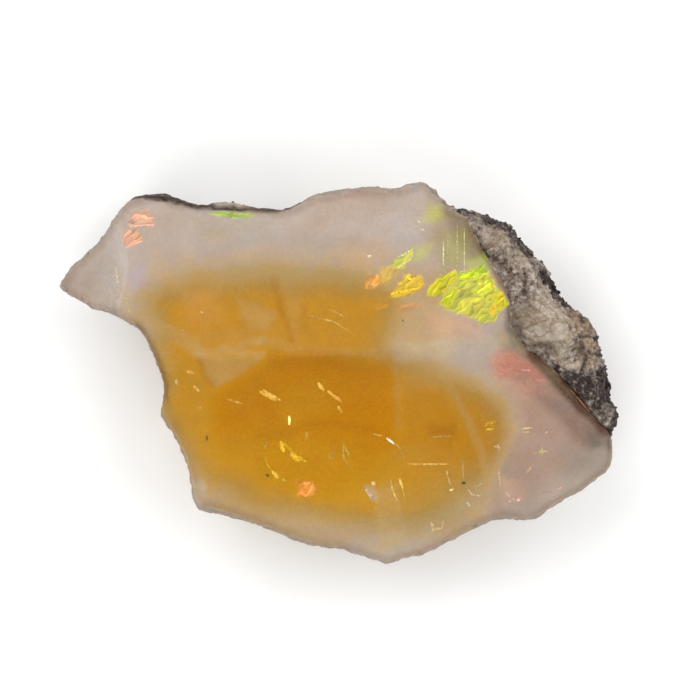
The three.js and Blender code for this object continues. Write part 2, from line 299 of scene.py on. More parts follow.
# %% Opal zones
# Each zone adds to its mask: strength, soft border in pixels, its points, and a width if it is a line.
OPAL_ZONES = {
    "honey": {
        "glow": (0.17, 24, [(126, 316), (132, 292), (148, 268), (190, 256), (260, 250), (340, 255),
            (400, 262), (440, 273), (456, 300), (446, 326), (452, 352), (476, 364), (502, 380), (514, 402),
            (514, 430), (507, 458), (498, 486), (486, 516), (460, 540), (400, 546), (320, 552), (250, 540),
            (206, 520), (194, 490), (168, 440), (156, 390)]),
        "core": (0.44, 20, [(166, 335), (163, 304), (172, 295), (204, 288), (250, 286), (310, 286),
            (350, 288), (372, 292), (388, 302), (385, 325), (381, 343), (382, 356), (408, 367), (430, 376),
            (458, 387), (479, 398), (494, 413), (499, 434), (492, 455), (473, 473), (450, 490), (430, 506),
            (392, 517), (350, 514), (318, 508), (282, 501), (250, 494), (218, 475), (200, 455), (186, 434),
            (172, 410), (168, 370)]),
        "basin": (0.4, 14, [(214, 395), (236, 378), (262, 366), (282, 352), (320, 351), (345, 358),
            (385, 370), (396, 382), (398, 420), (394, 440), (384, 456), (366, 472), (335, 490), (308, 494),
            (270, 478), (236, 456), (214, 430)]),
        "right_panel": (0.12, 10, [(400, 384), (428, 388), (452, 408), (470, 432), (474, 450), (440, 448),
            (402, 440)]),
    },
    "gold": {
        "lower_basin": (0.8, 22, [(196, 436), (250, 430), (320, 434), (380, 448), (420, 466), (440, 490),
            (400, 508), (330, 510), (260, 496), (205, 470)]),
        "left_edge": (0.4, 14, [(166, 350), (200, 356), (210, 400), (205, 450), (180, 440), (165, 400)]),
        "middle_sheet": (0.5, 8, [(284, 386), (320, 380), (332, 412), (300, 426), (278, 418)]),
    },
    # Pale veils, and painted highlights: the ledge_ zones are a lit band along the ledge, ridge a lit line
    # along a ridge.
    "haze": {
        "left_margin": (0.25, 9, [(164, 346), (170, 366), (173, 388)], 6),
        "low_left_margin": (0.35, 9, [(186, 456), (196, 474), (204, 488)], 8),
        "ledge_left": (0.5, 5, [(158, 325), (178, 335), (194, 345), (203, 352)], 8),
        "ledge_bright": (0.5, 4, [(200, 353), (216, 351), (236, 348), (250, 343), (264, 340)], 3),
        "ledge_fade": (0.3, 6, [(264, 340), (278, 343), (292, 350), (330, 351), (362, 352), (384, 354)], 3),
        "left_veil": (0.55, 2.5, [(203, 357), (222, 355), (246, 350), (268, 352), (262, 360), (250, 368),
            (236, 378), (218, 387), (208, 374)]),
        "upper_veil": (0.46, 3, [(238, 300), (262, 304), (277, 313), (278, 317), (268, 331), (252, 331),
            (242, 316)]),
        "terrace_foot": (0.16, 6, [(204, 338), (250, 335)], 8),
        "wedge_of_light": (0.25, 4, [(281, 278), (292, 279), (303, 300), (300, 335), (296, 345),
            (288, 312)]),
        "lower_column": (0.6, 4, [(374, 490), (384, 482), (396, 482), (404, 520), (398, 548), (380, 548)]),
        "left_point": (0.4, 3, [(160, 408), (172, 404), (174, 418), (164, 422)]),
        "ridge": (0.4, 4, [(440, 374), (452, 392), (462, 410), (472, 432), (480, 452), (484, 470)], 4),
        "panel_line": (0.25, 4, [(392, 350), (396, 380), (398, 428)], 2.5),
        "panel_top": (0.2, 8, [(396, 366), (430, 368), (444, 380), (420, 392), (398, 392)]),
    },
    # Whitish chip, keel and lower wedge, and a painted highlight along the ledge (ledge_end, ledge_line).
    "frost": {
        "ledge_end": (0.6, 6, [(392, 344), (420, 342), (452, 338), (500, 336), (506, 344), (470, 352),
            (430, 360), (396, 362)]),
        "ledge_line": (0.5, 3, [(426, 344), (442, 342), (458, 339)], 2),
        "lower_wedge": (0.6, 2.5, [(364, 484), (374, 484), (378, 500), (372, 498)]),
        "keel": (0.4, 8, [(376, 530), (404, 528), (404, 560), (380, 560)]),
        "chip": (1.0, 3, [(192, 476), (204, 478), (210, 484), (204, 496), (203, 506), (197, 508),
            (194, 490)]),
    },
    # A darker amber; in the grooves, under the ledge and in shadow_patch it is painted shade.
    "deep": {
        "groove_left": (0.5, 3, [(276, 280), (279, 300), (284, 314), (291, 328), (293, 342)], 4),
        "groove_right": (0.35, 4, [(304, 308), (305, 329)], 3),
        "veil_edge": (0.6, 3, [(202, 357), (207, 373), (214, 384)], 2.5),
        "under_ledge": (0.4, 10, [(276, 358), (300, 356), (350, 361), (392, 371)], 8),
        "shadow_patch": (0.5, 3, [(427, 422), (454, 424), (452, 435), (427, 434)]),
        "right_panel": (0.25, 5, [(404, 384), (440, 390), (454, 420), (452, 448), (406, 442)]),
        "basin_right": (0.2, 14, [(360, 440), (440, 436), (452, 480), (404, 492), (360, 480)]),
        "right_slope": (0.38, 14, [(446, 386), (500, 410), (508, 450), (476, 474), (440, 456)]),
        "basin_band": (0.3, 6, [(260, 435), (290, 433), (302, 425), (330, 422), (350, 425), (374, 431)], 4),
    },
    "rosy": {
        "under_flash": (0.2, 12, [(420, 318), (508, 308), (514, 338), (470, 344), (410, 340)]),
        "right_margin": (0.65, 24, [(505, 368), (596, 420), (590, 460), (530, 496), (480, 520), (470, 480),
            (496, 440)]),
        "lower_margin": (0.5, 10, [(205, 498), (240, 500), (300, 522), (340, 532), (330, 546), (260, 528),
            (210, 510)]),
    },
    "olive": {
        "core_rim": (0.4, 9, [(230, 274), (260, 272), (320, 275), (358, 278)], 6),
        "under_sliver": (0.35, 10, [(196, 222), (270, 222), (274, 240), (200, 242)]),
        "left_shoulder": (0.3, 10, [(150, 290), (146, 304), (152, 322), (166, 336)], 10),
        "left_of_flash": (0.3, 7, [(424, 276), (446, 268), (452, 284), (440, 300), (424, 298)]),
        "by_the_rock": (0.8, 14, [(430, 208), (452, 208), (474, 222), (488, 260), (450, 274), (428, 240)]),
        "lower_right": (0.4, 14, [(400, 490), (470, 460), (480, 490), (462, 525), (430, 530), (395, 540)]),
        "lower_band": (0.3, 10, [(240, 490), (300, 506), (350, 514), (400, 520), (398, 532), (340, 526),
            (280, 514)]),
        "bevel": (0.6, 5, [(500, 338), (516, 346), (530, 357), (546, 372), (560, 388)], 9),
    },
    "grey": {
        "wedge": (0.2, 9, [(62, 288), (78, 266), (96, 246), (112, 222), (126, 204), (138, 200)], 5),
        "wedge_inner": (0.3, 10, [(78, 284), (98, 256), (116, 246), (122, 280), (116, 304), (96, 300)]),
        "tip": (0.2, 6, [(58, 282), (72, 278), (76, 290), (64, 294)]),
        "left_low": (0.4, 4, [(166, 420), (182, 450), (194, 478), (198, 506)], 1.5),
        "by_the_rock": (0.7, 5, [(470, 228), (484, 254), (500, 284), (508, 306), (508, 330),
            (514, 342)], 6),
        "right_corner": (0.45, 16, [(560, 450), (606, 436), (612, 456), (600, 474), (566, 490)]),
        "low_right": (0.3, 18, [(486, 430), (530, 470), (544, 506), (500, 526), (484, 490)]),
        "right_facet": (0.45, 3, [(582, 424), (598, 432), (600, 444), (590, 450)]),
    },
    # Painted shade along the left rim (left_rim) and in right_shade; darker towards the rock on the bevel
    # and near the crown, and the dark seam where the opal meets the rock.
    "dark": {
        "left_rim": (0.5, 3, [(140, 326), (150, 340), (160, 358), (166, 376), (169, 396)], 2),
        "bevel_by_rock": (0.52, 7, [(530, 356), (545, 369), (559, 384), (574, 400), (590, 415),
            (604, 429)], 5),
        "right_shade": (0.42, 16, [(514, 360), (530, 374), (550, 394), (566, 408), (588, 432)], 15),
        "upper_contact": (0.36, 14, [(458, 212), (468, 236), (478, 252)], 12),
        "contact": (0.5, 3.5, [(480, 250), (500, 282), (510, 304), (511, 328), (522, 344), (538, 356),
            (554, 368), (568, 384), (588, 406)], 2.5),
    },
    "skin": {
        "upper_left": (0.95, 2, [(136, 197), (148, 197), (156, 197)], 5),
        "upper_bulge": (1.0, 2, [(152, 198), (164, 199), (174, 201), (182, 204)], 7.5),
        "knob": (1.0, 2, [(184, 205), (194, 207), (204, 209)], 3.5),
        "upper_mid": (0.9, 2, [(202, 211), (214, 210), (240, 211), (262, 213), (280, 213)], 3),
        "crown_side": (0.5, 3, [(428, 188), (436, 195), (446, 206), (458, 211)], 1.5),
        "right_end": (0.5, 2.5, [(606, 430), (608, 446)], 2),
    },
}
print(sum(len(zones) for zones in OPAL_ZONES.values()), "zones in", len(OPAL_ZONES), "masks")

# %% [markdown]
# Some of the colour follows the shape, and much of it is painted shade. The face darkens along its rim and
# where it bends down to the walls, the walls are dull and painted darker, and at the upper left the rind's
# dark skin comes up the back wall to the edge. These masks are measured on the mesh: from its normals, its
# heights and the distance to the nearest wall. Soft zones drift more than crisp ones do, because a grown
# border is never ruled.

# %% Paint the opal's zones
opal_points = read(opal.data.vertices, "co", 3)
opal_normals = read(opal.data.vertex_normals, "vector", 3)
FACE_FROM = (0.1, 0.45)  # upward part of a normal: below the first is wall, above the second is face
faces_up = ease(opal_normals[:, 2], *FACE_FROM)
opal_near = wander(pixels(opal_points), size=11, reach=2, seed=8)
opal_where = wander(opal_near, size=40, reach=5, seed=3)
SOFT_FROM = 9  # zones with a softer border than this also drift more


def strength_of(where, strength, soft, points, width=None):
    """The mask of one zone: the area within its points or, with a width, the line through them."""
    if width is None:
        return strength * inside(where, points, soft)
    return strength * stroke(where, points, width, soft)


# The skin on the back wall has torn borders and leaves one lip of bare opal under the edge.
CRUST = (0.95, 9, [(130, 170), (284, 170), (284, 262), (130, 262)])
LIP_PIXEL, LIP_WIDTH, LIP_MM, LIP_HEIGHT_MM = 232, 18, 10.5, 2.6
TEAR_MM, TEAR_PIXELS, LIP_TEAR = 2.4, 36, 0.6
LOW_MM, HIGH_MM, LIP_BORDER = (6, 9), (7, 10), (0.7, 1.2)
heights = opal_points[:, 2] / MM
tear = np.array([noise.noise(Vector(point) / (TEAR_MM * MM)) for point in opal_points])
torn_where = opal_near + np.column_stack([TEAR_PIXELS * tear, np.zeros(len(tear))])
from_lip = (np.hypot((opal_near[:, 0] - LIP_PIXEL) / LIP_WIDTH, (heights - LIP_MM) / LIP_HEIGHT_MM)
            + LIP_TEAR * tear)
on_back = np.maximum(1 - faces_up, 1 - ease(heights, *LOW_MM))
crust = strength_of(torn_where, *CRUST) * ease(from_lip, *LIP_BORDER) * on_back
high_up = np.maximum(faces_up, ease(heights, *HIGH_MM))

# Painted shade darkens the face along its rim, by the distance to the nearest wall that has no opal above
# it.
RIM_PIXELS, OVERHANG, STEEP = (3, 11), 0.3 * MM, 0.2
opal_tree = BVHTree.FromPolygons(opal_points.tolist(), [face.vertices[:] for face in opal.data.polygons])
steep = [Vector(point) for point in opal_points[np.abs(opal_normals[:, 2]) < STEEP]]
steep = [point for point in steep
         if opal_tree.ray_cast(point + Vector((0, 0, OVERHANG)), Vector((0, 0, 1)))[0] is None]
wall_tree = KDTree(len(steep))
for order, point in enumerate(steep):
    wall_tree.insert((point.x, point.y, 0), order)
wall_tree.balance()
to_wall = np.array([wall_tree.find((x, y, 0))[2] for x, y, _ in opal_points]) / (PIXEL_MM * MM)
# Painted shade: rim darkens the face near its walls, wall darkens the walls and edge the bend between them.
paint(opal.data, "rim", 1 - ease(to_wall, *RIM_PIXELS))
paint(opal.data, "wall", 1 - faces_up)
EDGE_FROM, EDGE_UNTIL = (-0.1, 0.25), (0.3, 0.6)  # upward part of a normal between wall and face
edge = ease(opal_normals[:, 2], *EDGE_FROM) * (1 - ease(opal_normals[:, 2], *EDGE_UNTIL))
paint(opal.data, "edge", edge)
for mask, zones in OPAL_ZONES.items():
    values = sum(strength_of(opal_where if zone[1] > SOFT_FROM else opal_near, *zone)
                 for zone in zones.values())
    if mask == "skin":
        values = np.maximum(values * high_up, crust)
    paint(opal.data, mask, np.clip(values, 0, 1))

# %% [markdown]
# Precious opal flashes in pure colours where its tiny spheres lie in order. In the stone such a flash is a
# patch of parallel streaks. Each patch here is an area with a colour from the spectrum (0 red, 0.24 orange,
# 0.4 yellow, 0.5 lime, 0.65 green, 1 violet), a strength and the direction of its streaks. The mesh carries
# strength, colour and the streaks' own coordinates; the material draws the streaks themselves.

# %% Opal flashes
# Each patch: hue, strength, direction of its streaks in degrees, soft border in pixels, corners.
FLASHES = {
    "main": (0.46, 0.85, 36, 4, [(438, 306), (441, 296), (452, 284), (456, 274), (480, 265), (487, 276),
        (497, 291), (507, 303), (500, 312), (494, 322), (479, 325), (462, 316), (448, 312)]),
    "main_top": (0.51, 1.0, 35, 2.5, [(452, 281), (456, 274), (471, 271), (480, 265), (487, 272),
        (478, 280), (462, 282)]),
    "main_mid": (0.47, 0.9, 38, 2.5, [(466, 292), (476, 281), (486, 280), (496, 294), (497, 305),
        (480, 302)]),
    "main_right": (0.43, 1.05, 30, 2.5, [(488, 294), (500, 292), (506, 303), (500, 311), (489, 306)]),
    "main_low": (0.45, 0.75, 34, 4, [(455, 305), (466, 295), (484, 300), (495, 309), (492, 322), (479, 325),
        (464, 315)]),
    "main_gold": (0.33, 1.1, 30, 2.5, [(485, 307), (493, 305), (496, 314), (488, 318)]),
    "left_leaf": (0.47, 1.0, 40, 2.5, [(438, 304), (441, 296), (450, 288), (457, 290), (454, 301),
        (446, 311)]),
    "green_above": (0.56, 0.35, 75, 6, [(460, 262), (484, 254), (488, 268), (466, 272)]),
    "lime_streak": (0.43, 1.0, 42, 2.5, [(424, 296), (430, 284), (444, 275), (454, 270), (455, 281),
        (446, 292), (434, 298)]),
    "yellow_wedge": (0.36, 0.9, 48, 2.5, [(386, 299), (396, 288), (404, 275), (420, 277), (424, 287),
        (412, 295), (400, 299)]),
    "wedge_floor": (0.34, 1.05, 10, 2.5, [(391, 296), (398, 291), (410, 291), (404, 296)]),
    "peach": (0.25, 0.7, 50, 2.5, [(364, 290), (365, 277), (378, 274), (382, 283), (377, 290)]),
    "peach_upper": (0.35, 0.55, 40, 4, [(375, 283), (380, 268), (392, 264), (401, 268), (396, 281),
        (386, 286)]),
    "pale_strip": (0.47, 0.68, 35, 2.5, [(391, 264), (402, 254), (414, 249), (414, 259), (403, 270),
        (392, 274)]),
    "pale_leaf": (0.5, 0.36, 28, 6, [(410, 257), (415, 249), (430, 247), (423, 260), (416, 264)]),
    "orange_smear": (0.22, 0.7, 25, 4, [(394, 314), (402, 307), (414, 303), (423, 303), (412, 311)]),
    "smear_left": (0.28, 0.5, 10, 2.5, [(374, 307), (380, 304), (388, 305), (384, 310), (378, 311)]),
    "upright_green": (0.52, 0.14, 86, 8, [(440, 240), (464, 230), (468, 266), (442, 270)]),
    "crown_green": (0.5, 0.3, 60, 6, [(421, 222), (428, 207), (440, 208), (440, 219), (430, 225)]),
    "top_sliver": (0.59, 0.9, 2, 2.5, [(211, 216), (222, 213), (242, 215), (260, 216), (244, 221),
        (226, 220)]),
    "salmon": (0.1, 0.8, 15, 2.5, [(131, 226), (138, 214), (152, 212), (157, 218), (159, 228), (148, 230),
        (134, 230)]),
    "salmon_tail": (0.13, 0.3, 10, 5, [(156, 223), (169, 222), (170, 230), (158, 231)]),
    "salmon_low": (0.11, 1.0, 40, 2.5, [(127, 236), (134, 231), (142, 234), (147, 242), (138, 250),
        (129, 249)]),
    "lavender": (0.97, 0.45, 70, 8, [(132, 274), (148, 264), (151, 282), (138, 293), (132, 290)]),
    "gold_left": (0.3, 0.2, 80, 2.5, [(116, 268), (123, 268), (123, 290), (118, 288)]),
    "gold_left_low": (0.32, 0.14, 80, 2.5, [(126, 290), (133, 292), (136, 316), (129, 314)]),
    "coral": (0.01, 0.62, -25, 6, [(488, 356), (500, 351), (512, 352), (530, 364), (546, 382), (536, 385),
        (520, 373), (500, 379), (492, 376)]),
    "coral_low": (0.03, 0.34, -25, 10, [(490, 372), (530, 374), (552, 396), (520, 396)]),
    "orange_square": (0.24, 0.85, 55, 4, [(297, 480), (314, 478), (317, 494), (300, 497)]),
    "yellow_low_left": (0.33, 0.25, -70, 2.5, [(279, 436), (289, 434), (292, 450), (284, 453)]),
    "yellow_low": (0.33, 0.35, -40, 2.5, [(288, 450), (302, 448), (308, 461), (294, 463)]),
    "yellow_under": (0.32, 0.25, 60, 2.5, [(272, 468), (281, 469), (280, 479), (273, 479)]),
    "gold_right": (0.3, 0.35, 30, 4, [(482, 421), (494, 418), (496, 428), (486, 431)]),
    "under_main": (0.2, 0.24, 10, 10, [(424, 312), (458, 315), (480, 327), (478, 338), (430, 336)]),
    "above_core": (0.28, 0.14, 30, 10, [(340, 248), (384, 240), (392, 256), (380, 268), (346, 268)]),
    "orange_terrace": (0.18, 0.14, 60, 10, [(184, 292), (222, 288), (226, 324), (190, 328)]),
    "pink_low_right": (0.08, 0.2, 40, 6, [(498, 478), (522, 476), (526, 498), (502, 502)]),
}
# The sides aren't in the photograph. A few patches there are guessed: middle and size in mm, hue, strength.
SIDE_FLASHES = {
    "front_lime": ((-4, -13.5, 6), 2.6, 0.5, 0.55), "front_orange": ((3.5, -14.5, 4), 2.0, 0.2, 0.5),
    "left_gold": ((-12.5, -5, 5), 2.2, 0.32, 0.5), "wedge_coral": ((-16, 4.5, 5), 2.4, 0.06, 0.45),
    "right_green": ((20, -8, 5), 2.4, 0.56, 0.5), "lower_right_gold": ((13, -11.5, 6), 2.0, 0.35, 0.45),
    "back_lime": ((0, 13, 4.5), 2.6, 0.48, 0.5), "back_coral": ((-15, 12.5, 4.5), 2.2, 0.08, 0.45),
}
CRISP_BELOW = 6  # pixels: a patch with a softer border than this has no creases
PATCH_APART = 3.7  # gives each patch a part of the leaf pattern of its own
SIDE_TURN = 0.5
DIAGONAL = 0.7  # the run along a wall is counted on the diagonal of X and -Y

flash, flash_hue, flash_crisp = np.zeros((3, len(opal_points)))
flash_grain = np.zeros((len(opal_points), 3))
flash_where = wander(pixels(opal_points), size=7, reach=2.5, seed=5)
on_face = flash_where * (1, -1) * PIXEL_MM
on_side = np.column_stack([DIAGONAL * (opal_points[:, 0] - opal_points[:, 1]), opal_points[:, 2]]) / MM
patches = [(strength * inside(flash_where, corners, soft) * faces_up, on_face, hue, math.radians(turn),
            soft < CRISP_BELOW)
           for hue, strength, turn, soft, corners in FLASHES.values()]
# How finely and how deeply the border of a side patch is torn, and how much lower than wide it is
FRAY_MM, FRAY, FLATTEN = 1.1, 1.6, (1, 1, 1.7)
fray = FRAY * np.array([noise.noise(Vector(point) / (FRAY_MM * MM)) for point in opal_points])
for middle, size, hue, strength in SIDE_FLASHES.values():
    gap = np.linalg.norm((opal_points / MM - middle) * FLATTEN, axis=1) + fray
    patches.append((strength * (1 - ease(gap, 0.5 * size, size)) * (1 - faces_up), on_side, hue,
                    SIDE_TURN, True))
for order, (mask, spots, hue, turn, crisp) in enumerate(patches):
    wins = mask > flash
    along = spots[:, 0] * math.cos(turn) + spots[:, 1] * math.sin(turn)
    across = spots[:, 1] * math.cos(turn) - spots[:, 0] * math.sin(turn)
    flash_grain[wins] = np.column_stack([along, across, np.full(len(along), PATCH_APART * order)])[wins]
    flash_hue[wins], flash_crisp[wins] = hue, crisp
    flash = np.maximum(flash, mask)
paint(opal.data, "flash", flash)
paint(opal.data, "flash_hue", flash_hue)
paint(opal.data, "flash_crisp", flash_crisp)
paint(opal.data, "flash_grain", flash_grain)

# %% [markdown]
# Opal is a hardened silica gel, glassy where broken: IOR about 1.45 and a low roughness. Light goes in, is
# scattered and comes out again, so the shader is mostly subsurface scattering, with some plain transmission
# in the clear honey core. The flashes glow by emission, since diffracted light is purer and brighter than
# any pigment. Every pattern is sized in millimetres, through Object coordinates or the streaks' own.

# %% Opal material
# Precious opal, freshly broken: a soft inner glow under a thin glassy shine.
def material_tree(material):
    """An emptied node tree of the material, with its shader and the pieces' own coordinates in metres."""
    material.use_nodes = True
    tree = material.node_tree
    tree.nodes.clear()
    shader = add(tree, "ShaderNodeBsdfPrincipled", out=None)
    add(tree, "ShaderNodeOutputMaterial", {"Surface": shader.outputs[0]}, out=None)
    return tree, shader, add(tree, "ShaderNodeTexCoord", out="Object")


def mixed(tree, share, below, above, blend="MIX"):
    """The output of a colour mix of below and above."""
    return add(tree, "ShaderNodeMix", {0: share, 6: below, 7: above}, data_type="RGBA",
               blend_type=blend, out=2)


tree, shader, place = material_tree(opal_material)
masks = {name: add(tree, "ShaderNodeAttribute", attribute_name=name, out="Fac")
         for name in (*OPAL_ZONES, "rim", "wall", "edge", "flash", "flash_hue", "flash_crisp")}

CLOUD_MM, MOTTLE_MM, SPECK_MM = 5.0, 1.3, 0.3
cloud = add(tree, "ShaderNodeTexNoise", {"Vector": place, "Scale": 1 / (CLOUD_MM * MM), "Detail": 3.0})
mottle = add(tree, "ShaderNodeTexNoise", {"Vector": place, "Scale": 1 / (MOTTLE_MM * MM), "Detail": 2.0})
milk = add(tree, "ShaderNodeValToRGB", {0: cloud}, stops=[
    (0.3, "#c4ab9a"), (0.5, "#c7b4a4"), (0.7, "#c6bab4")])
milk = mixed(tree, masks["rosy"], milk, "#b38e78")
milk = mixed(tree, masks["grey"], milk, "#8a867a")
core = add(tree, "ShaderNodeMath", {0: mottle, 1: 0.12, 2: masks["honey"]}, operation="MULTIPLY_ADD")
core = add(tree, "ShaderNodeMath", {0: core, 1: 0.06}, operation="SUBTRACT")
honey = add(tree, "ShaderNodeValToRGB", {0: core}, stops=[
    (0.0, "#c4b098"), (0.1, "#cbb08c"), (0.22, "#c6a46e"), (0.4, "#bd944a"),
    (0.6, "#cb942c"), (0.8, "#d0920c"), (1.0, "#ce8a00")])
golden = add(tree, "ShaderNodeMath", {0: masks["gold"], 1: 0.6}, operation="MULTIPLY")
honey = mixed(tree, golden, honey, "#d6a01c")
in_core = add(tree, "ShaderNodeMapRange", {"Value": core, "From Min": 0.0, "From Max": 0.2},
              interpolation_type="SMOOTHSTEP")
body = mixed(tree, in_core, milk, honey)
patchy = add(tree, "ShaderNodeMapRange",
             {"Value": mottle, "From Min": 0.3, "From Max": 0.7, "To Min": 0.6, "To Max": 1.1})
# The deep mask is partly painted shade, in grooves and under the ledge, and the two pale masks after it are
# partly painted highlights along the ledge and a ridge.
for mask, reach, tone in (("olive", 0.8, "#aa955c"), ("deep", 0.6, "#a5650a"), ("haze", 1.0, "#cba96e"),
                          ("frost", 0.9, "#cdbd9f")):
    share = add(tree, "ShaderNodeMath", {0: masks[mask], 1: patchy}, operation="MULTIPLY")
    share = add(tree, "ShaderNodeMath", {0: share, 1: reach}, operation="MULTIPLY", use_clamp=True)
    body = mixed(tree, share, body, tone)
# Painted shade: rim, wall and edge darken the face's rim, the walls and the bend between them, and dark adds
# painted shade along the left rim and in right_shade, besides the dark seam at the rock.
for mask, reach, tone in (("rim", 0.26, "#5c4936"), ("wall", 0.25, "#84705e"), ("edge", 0.5, "#66503c"),
                          ("dark", 1.0, "#5a3e2c")):
    share = add(tree, "ShaderNodeMath", {0: masks[mask], 1: reach}, operation="MULTIPLY")
    body = mixed(tree, share, body, tone)
speck = add(tree, "ShaderNodeTexNoise",
            {"Vector": place, "Scale": 1 / (SPECK_MM * MM), "Detail": 4.0, "Roughness": 0.7})
crusted = add(tree, "ShaderNodeValToRGB", {0: speck}, stops=[
    (0.38, "#231915"), (0.52, "#33271f"), (0.6, "#54463a"), (0.68, "#7c6c5e")])
body = mixed(tree, masks["skin"], body, crusted)
shade = add(tree, "ShaderNodeMapRange", {"Value": mottle, "From Min": 0.3, "From Max": 0.7,
                                         "To Min": 0.76, "To Max": 0.82})
body = mixed(tree, 1.0, body, shade, "MULTIPLY")
print("the body colour takes", len(tree.nodes), "nodes")

# %% [markdown]
# Seen close, a flash is a patch of overlapping leaves, each with a brightness of its own and a crease of
# light along one side, streaked by fine hairs. Stretched Voronoi cells make the leaves: a cell's random
# colour gives its brightness, hue and border, and the place within the cell gives the crease.

# %% Opal flash pattern
# The leaves are about a millimetre long. Real hairs are finer and are drawn as wide as they need to show.
LEAF_LENGTH_MM, LEAF_WIDTH_MM, HAIR_WIDTH_MM = 1.0, 0.34, 0.12
grain = add(tree, "ShaderNodeAttribute", attribute_name="flash_grain", out="Vector")
bend = add(tree, "ShaderNodeTexNoise", {"Vector": grain, "Scale": 1 / LEAF_LENGTH_MM, "Detail": 2.0},
           out="Color")
grain = add(tree, "ShaderNodeVectorMath", {0: bend, 1: (0.8, 0.8, 0.0), 2: grain}, operation="MULTIPLY_ADD")
leaves = add(tree, "ShaderNodeVectorMath", {0: grain, 1: (1 / LEAF_LENGTH_MM, 1 / LEAF_WIDTH_MM, 1.0)},
             operation="MULTIPLY")
cell = add(tree, "ShaderNodeTexVoronoi", {"Vector": leaves, "Scale": 1.0}, out=None).outputs
leaf = add(tree, "ShaderNodeSeparateColor", {0: cell["Color"]}, out=None).outputs
off = add(tree, "ShaderNodeVectorMath", {0: leaves, 1: cell["Position"]}, operation="SUBTRACT")
off = add(tree, "ShaderNodeSeparateXYZ", {0: off}, out="Y")
crease = add(tree, "ShaderNodeMapRange",
             {"Value": off, "From Min": -0.6, "From Max": 0.6, "To Min": 0.58, "To Max": 1.26})
hairs = add(tree, "ShaderNodeVectorMath", {0: grain, 1: (1 / LEAF_LENGTH_MM, 1 / HAIR_WIDTH_MM, 1.0)},
            operation="MULTIPLY")
hairs = add(tree, "ShaderNodeTexNoise", {"Vector": hairs, "Scale": 1.0, "Detail": 2.0})
hairs = add(tree, "ShaderNodeMapRange",
            {"Value": hairs, "From Min": 0.35, "From Max": 0.65, "To Min": 0.86, "To Max": 1.1})
bright = add(tree, "ShaderNodeMapRange", {"Value": leaf[0], "To Min": 0.68, "To Max": 1.02})
folds = add(tree, "ShaderNodeTexNoise", {"Vector": leaves, "Scale": 0.4, "Detail": 1.0})
folds = add(tree, "ShaderNodeMapRange",
            {"Value": folds, "From Min": 0.38, "From Max": 0.6, "To Min": 0.8, "To Max": 1.16})
for share in (crease, hairs, folds):
    bright = add(tree, "ShaderNodeMath", {0: bright, 1: share}, operation="MULTIPLY")
bright = add(tree, "ShaderNodeMapRange", {"Value": masks["flash_crisp"], "To Min": 0.9, "To Max": bright})
frayed = add(tree, "ShaderNodeMath", {0: leaf[2], 1: 0.5, 2: masks["flash"]}, operation="MULTIPLY_ADD")
frayed = add(tree, "ShaderNodeMapRange", {"Value": frayed, "From Min": 0.4, "From Max": 0.85},
             interpolation_type="SMOOTHSTEP")
frayed = add(tree, "ShaderNodeMapRange", {"Value": masks["flash_crisp"], "To Min": 1.0, "To Max": frayed})
frayed = add(tree, "ShaderNodeMath", {0: frayed, 1: masks["flash"]}, operation="MULTIPLY")
glow = add(tree, "ShaderNodeMath", {0: bright, 1: frayed}, operation="MULTIPLY", use_clamp=True)
drift = add(tree, "ShaderNodeMath", {0: leaf[1], 1: 0.05, 2: masks["flash_hue"]}, operation="MULTIPLY_ADD")
drift = add(tree, "ShaderNodeMath", {0: drift, 1: 0.025}, operation="SUBTRACT")
spectrum = add(tree, "ShaderNodeValToRGB", {0: drift}, stops=[
    (0.0, "#c8745c"), (0.09, "#f0b698"), (0.17, "#eeb884"), (0.24, "#f09a46"), (0.32, "#f4c634"),
    (0.42, "#ecd828"), (0.5, "#c8dc18"), (0.64, "#a4cc54"), (0.82, "#86b4a8"), (1.0, "#b6a2c0")])
cover = add(tree, "ShaderNodeMath", {0: frayed, 1: 0.9}, operation="MULTIPLY", use_clamp=True)
body = mixed(tree, cover, body, mixed(tree, 1.0, spectrum, bright, "MULTIPLY"))
print("with the flashes it takes", len(tree.nodes), "nodes")

# %% [markdown]
# The shader comes last. A fresh break is glossier than the walls, and the skin is dull. Values that are the
# same all over, such as the IOR, are set on the shader's own sockets, because an export drops them when
# linked.

# %% Opal shader
shine = add(tree, "ShaderNodeTexNoise", {"Vector": place, "Scale": 1 / (SPECK_MM * MM), "Detail": 2.0})
gloss = add(tree, "ShaderNodeMapRange", {"Value": shine, "To Min": 0.18, "To Max": 0.36})
for mask, rise in (("wall", 0.15), ("skin", 0.4)):
    gloss = add(tree, "ShaderNodeMath", {0: masks[mask], 1: rise, 2: gloss}, operation="MULTIPLY_ADD")
clear = add(tree, "ShaderNodeMapRange", {"Value": masks["honey"], "From Min": 0.3, "To Max": 0.07})
add_glow = add(tree, "ShaderNodeMath", {0: glow, 1: 0.11}, operation="MULTIPLY")
for socket, source in {"Base Color": body, "Roughness": gloss, "Transmission Weight": clear,
                       "Emission Color": spectrum, "Emission Strength": add_glow}.items():
    tree.links.new(source, shader.inputs[socket])
shader.inputs["IOR"].default_value = 1.45
shader.inputs["Specular IOR Level"].default_value = 0.25
shader.inputs["Subsurface Weight"].default_value = 0.8
shader.inputs["Subsurface Scale"].default_value = 0.6 * MM
shader.inputs["Subsurface Radius"].default_value = (1.0, 0.7, 0.4)
print("opal material has", len(tree.nodes), "nodes")
